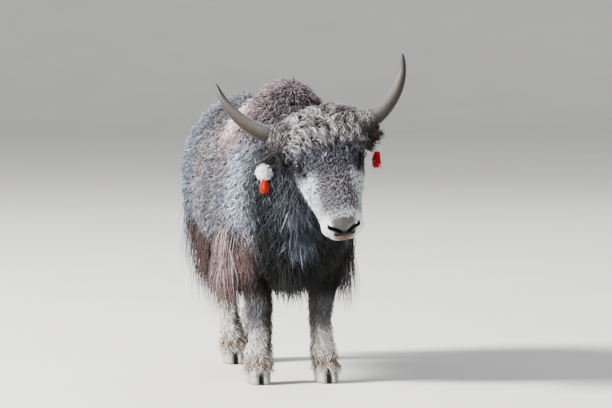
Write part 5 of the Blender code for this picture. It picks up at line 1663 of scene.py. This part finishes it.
def yarn_material(name, dark, light):
    """Dyed wool yarn, whose fibres are paler and darker by noise."""
    made, shader, node, join = new_material(name)
    fibres = noise_over(node, join, Scale=420.0, Detail=3.0, Roughness=0.6)
    ramp(shader, node, join, fibres, (0.32, dark), (0.66, light))
    bumped(shader, node, join, fibres, "Fac", 0.4, 0.0006)
    shader.inputs["Roughness"].default_value = 0.85
    shader.inputs["Specular IOR Level"].default_value = 0.15
    return made


yarns = {
    "right": yarn_material("orange_yarn", (0.24, 0.008, 0.001), (0.66, 0.034, 0.002)),
    "left": yarn_material("red_yarn", (0.14, 0.003, 0.004), (0.46, 0.010, 0.010)),
}


def twist(s, angle):
    """Three plies laid round the cord."""
    return 1 + 0.16 * np.cos(3 * angle + 40 * s)


for word, side in sides_of.items():
    top = ear_line(side, TASSEL_HOLE)
    radius = POM_RADIUS[word]
    centre = top - (0, 0, POM_DROP[word] + radius)
    start = top - (0, 0, POM_DROP[word] + 2 * radius + 0.001)
    knot = ball_form(top + (0, 0, 0.010), UP, KNOT_RADIUS, rings=20, sides=24)
    cord_line = np.linspace(top + (0, 0, 0.011), start - (0, 0, 0.010), CORD_STEPS)
    cord = tube(cord_line, np.full(CORD_STEPS, CORD_RADIUS), 12, np.array([0.0, 1.0, 0.0]), twist)
    collar = ball_form(start - (0, 0, 0.004), UP, COLLAR_RADIUS, rings=14, sides=20)
    forms = [closed_loft(rings) for rings in (knot, cord, collar)]
    for strand in range(YARN_STRANDS):
        angle, reach = strand * GOLDEN_ANGLE, math.sqrt((strand + 0.5) / YARN_STRANDS)
        out = np.array([math.cos(angle), math.sin(angle), 0.0])
        t = np.linspace(0, 1, 12)
        length = BRUSH_LENGTH[word] * chance.uniform(0.80, 1.06)
        bow = reach * (0.004 + 0.012 * np.sin(np.pi * 0.62 * t)) + 0.0015 * np.sin(9 * t + angle * 3)
        wander = chance.normal(0, 0.0025, 2)
        line = start + (0, 0, YARN_INSIDE) + out * bow[:, None]
        line = line - np.outer(length * t, (0, 0, 1)) + np.outer(t ** 2, (*wander, 0.0))
        size = YARN_RADIUS * (1 - 0.35 * t)
        forms.append(closed_loft(tube(line, size, 5, np.array([0.3, 1.0, 0.0]))))
    yarn = mesh_piece(f"yarn_brush_{word}", *joined(forms))
    yarn.data.materials.append(yarns[word])
    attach(yarn, "root")
    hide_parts(f"tassel_yarn_{word}")

    height = 1 - 2 * (np.arange(POM_TUFTS) + 0.5) / POM_TUFTS
    turn_round = np.arange(POM_TUFTS) * GOLDEN_ANGLE
    level = np.sqrt(1 - height ** 2)
    out = np.column_stack([level * np.cos(turn_round), level * np.sin(turn_round), height])
    lie = unit(np.cross(out, (0.2, 0.3, 1.0)) + chance.normal(0, 0.7, out.shape))
    lie = unit(along_skin(lie, out))
    white = np.full((POM_TUFTS, 3), 0.95) * np.exp(chance.normal(0, 0.06, POM_TUFTS))[:, None]
    unwrap = 0.02 + 0.96 * np.column_stack([turn_round / (2 * np.pi) % 1, (height + 1) / 2])
    length = radius * chance.uniform(0.6, 1.0, POM_TUFTS)
    pom = tufts(f"wool_ball_{word}", centre + out * radius * POM_ROOTS, out, lie, length,
                np.full(POM_TUFTS, POM_FIBRE), white, unwrap, rings=3, lift=0.95, coil=0.16, turns=0.9,
                dark_root=0.85, light_tip=1.02)
    core_rings = ball_form(centre, UP, radius * POM_CORE, rings=20, sides=28)
    core = mesh_piece(f"wool_core_{word}", *closed_loft(core_rings))
    paint(core, np.full((len(core.data.vertices), 3), 0.80))
    core.data.materials.append(wool_material)
    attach(core, "root")
    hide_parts(f"tassel_wool_{word}")
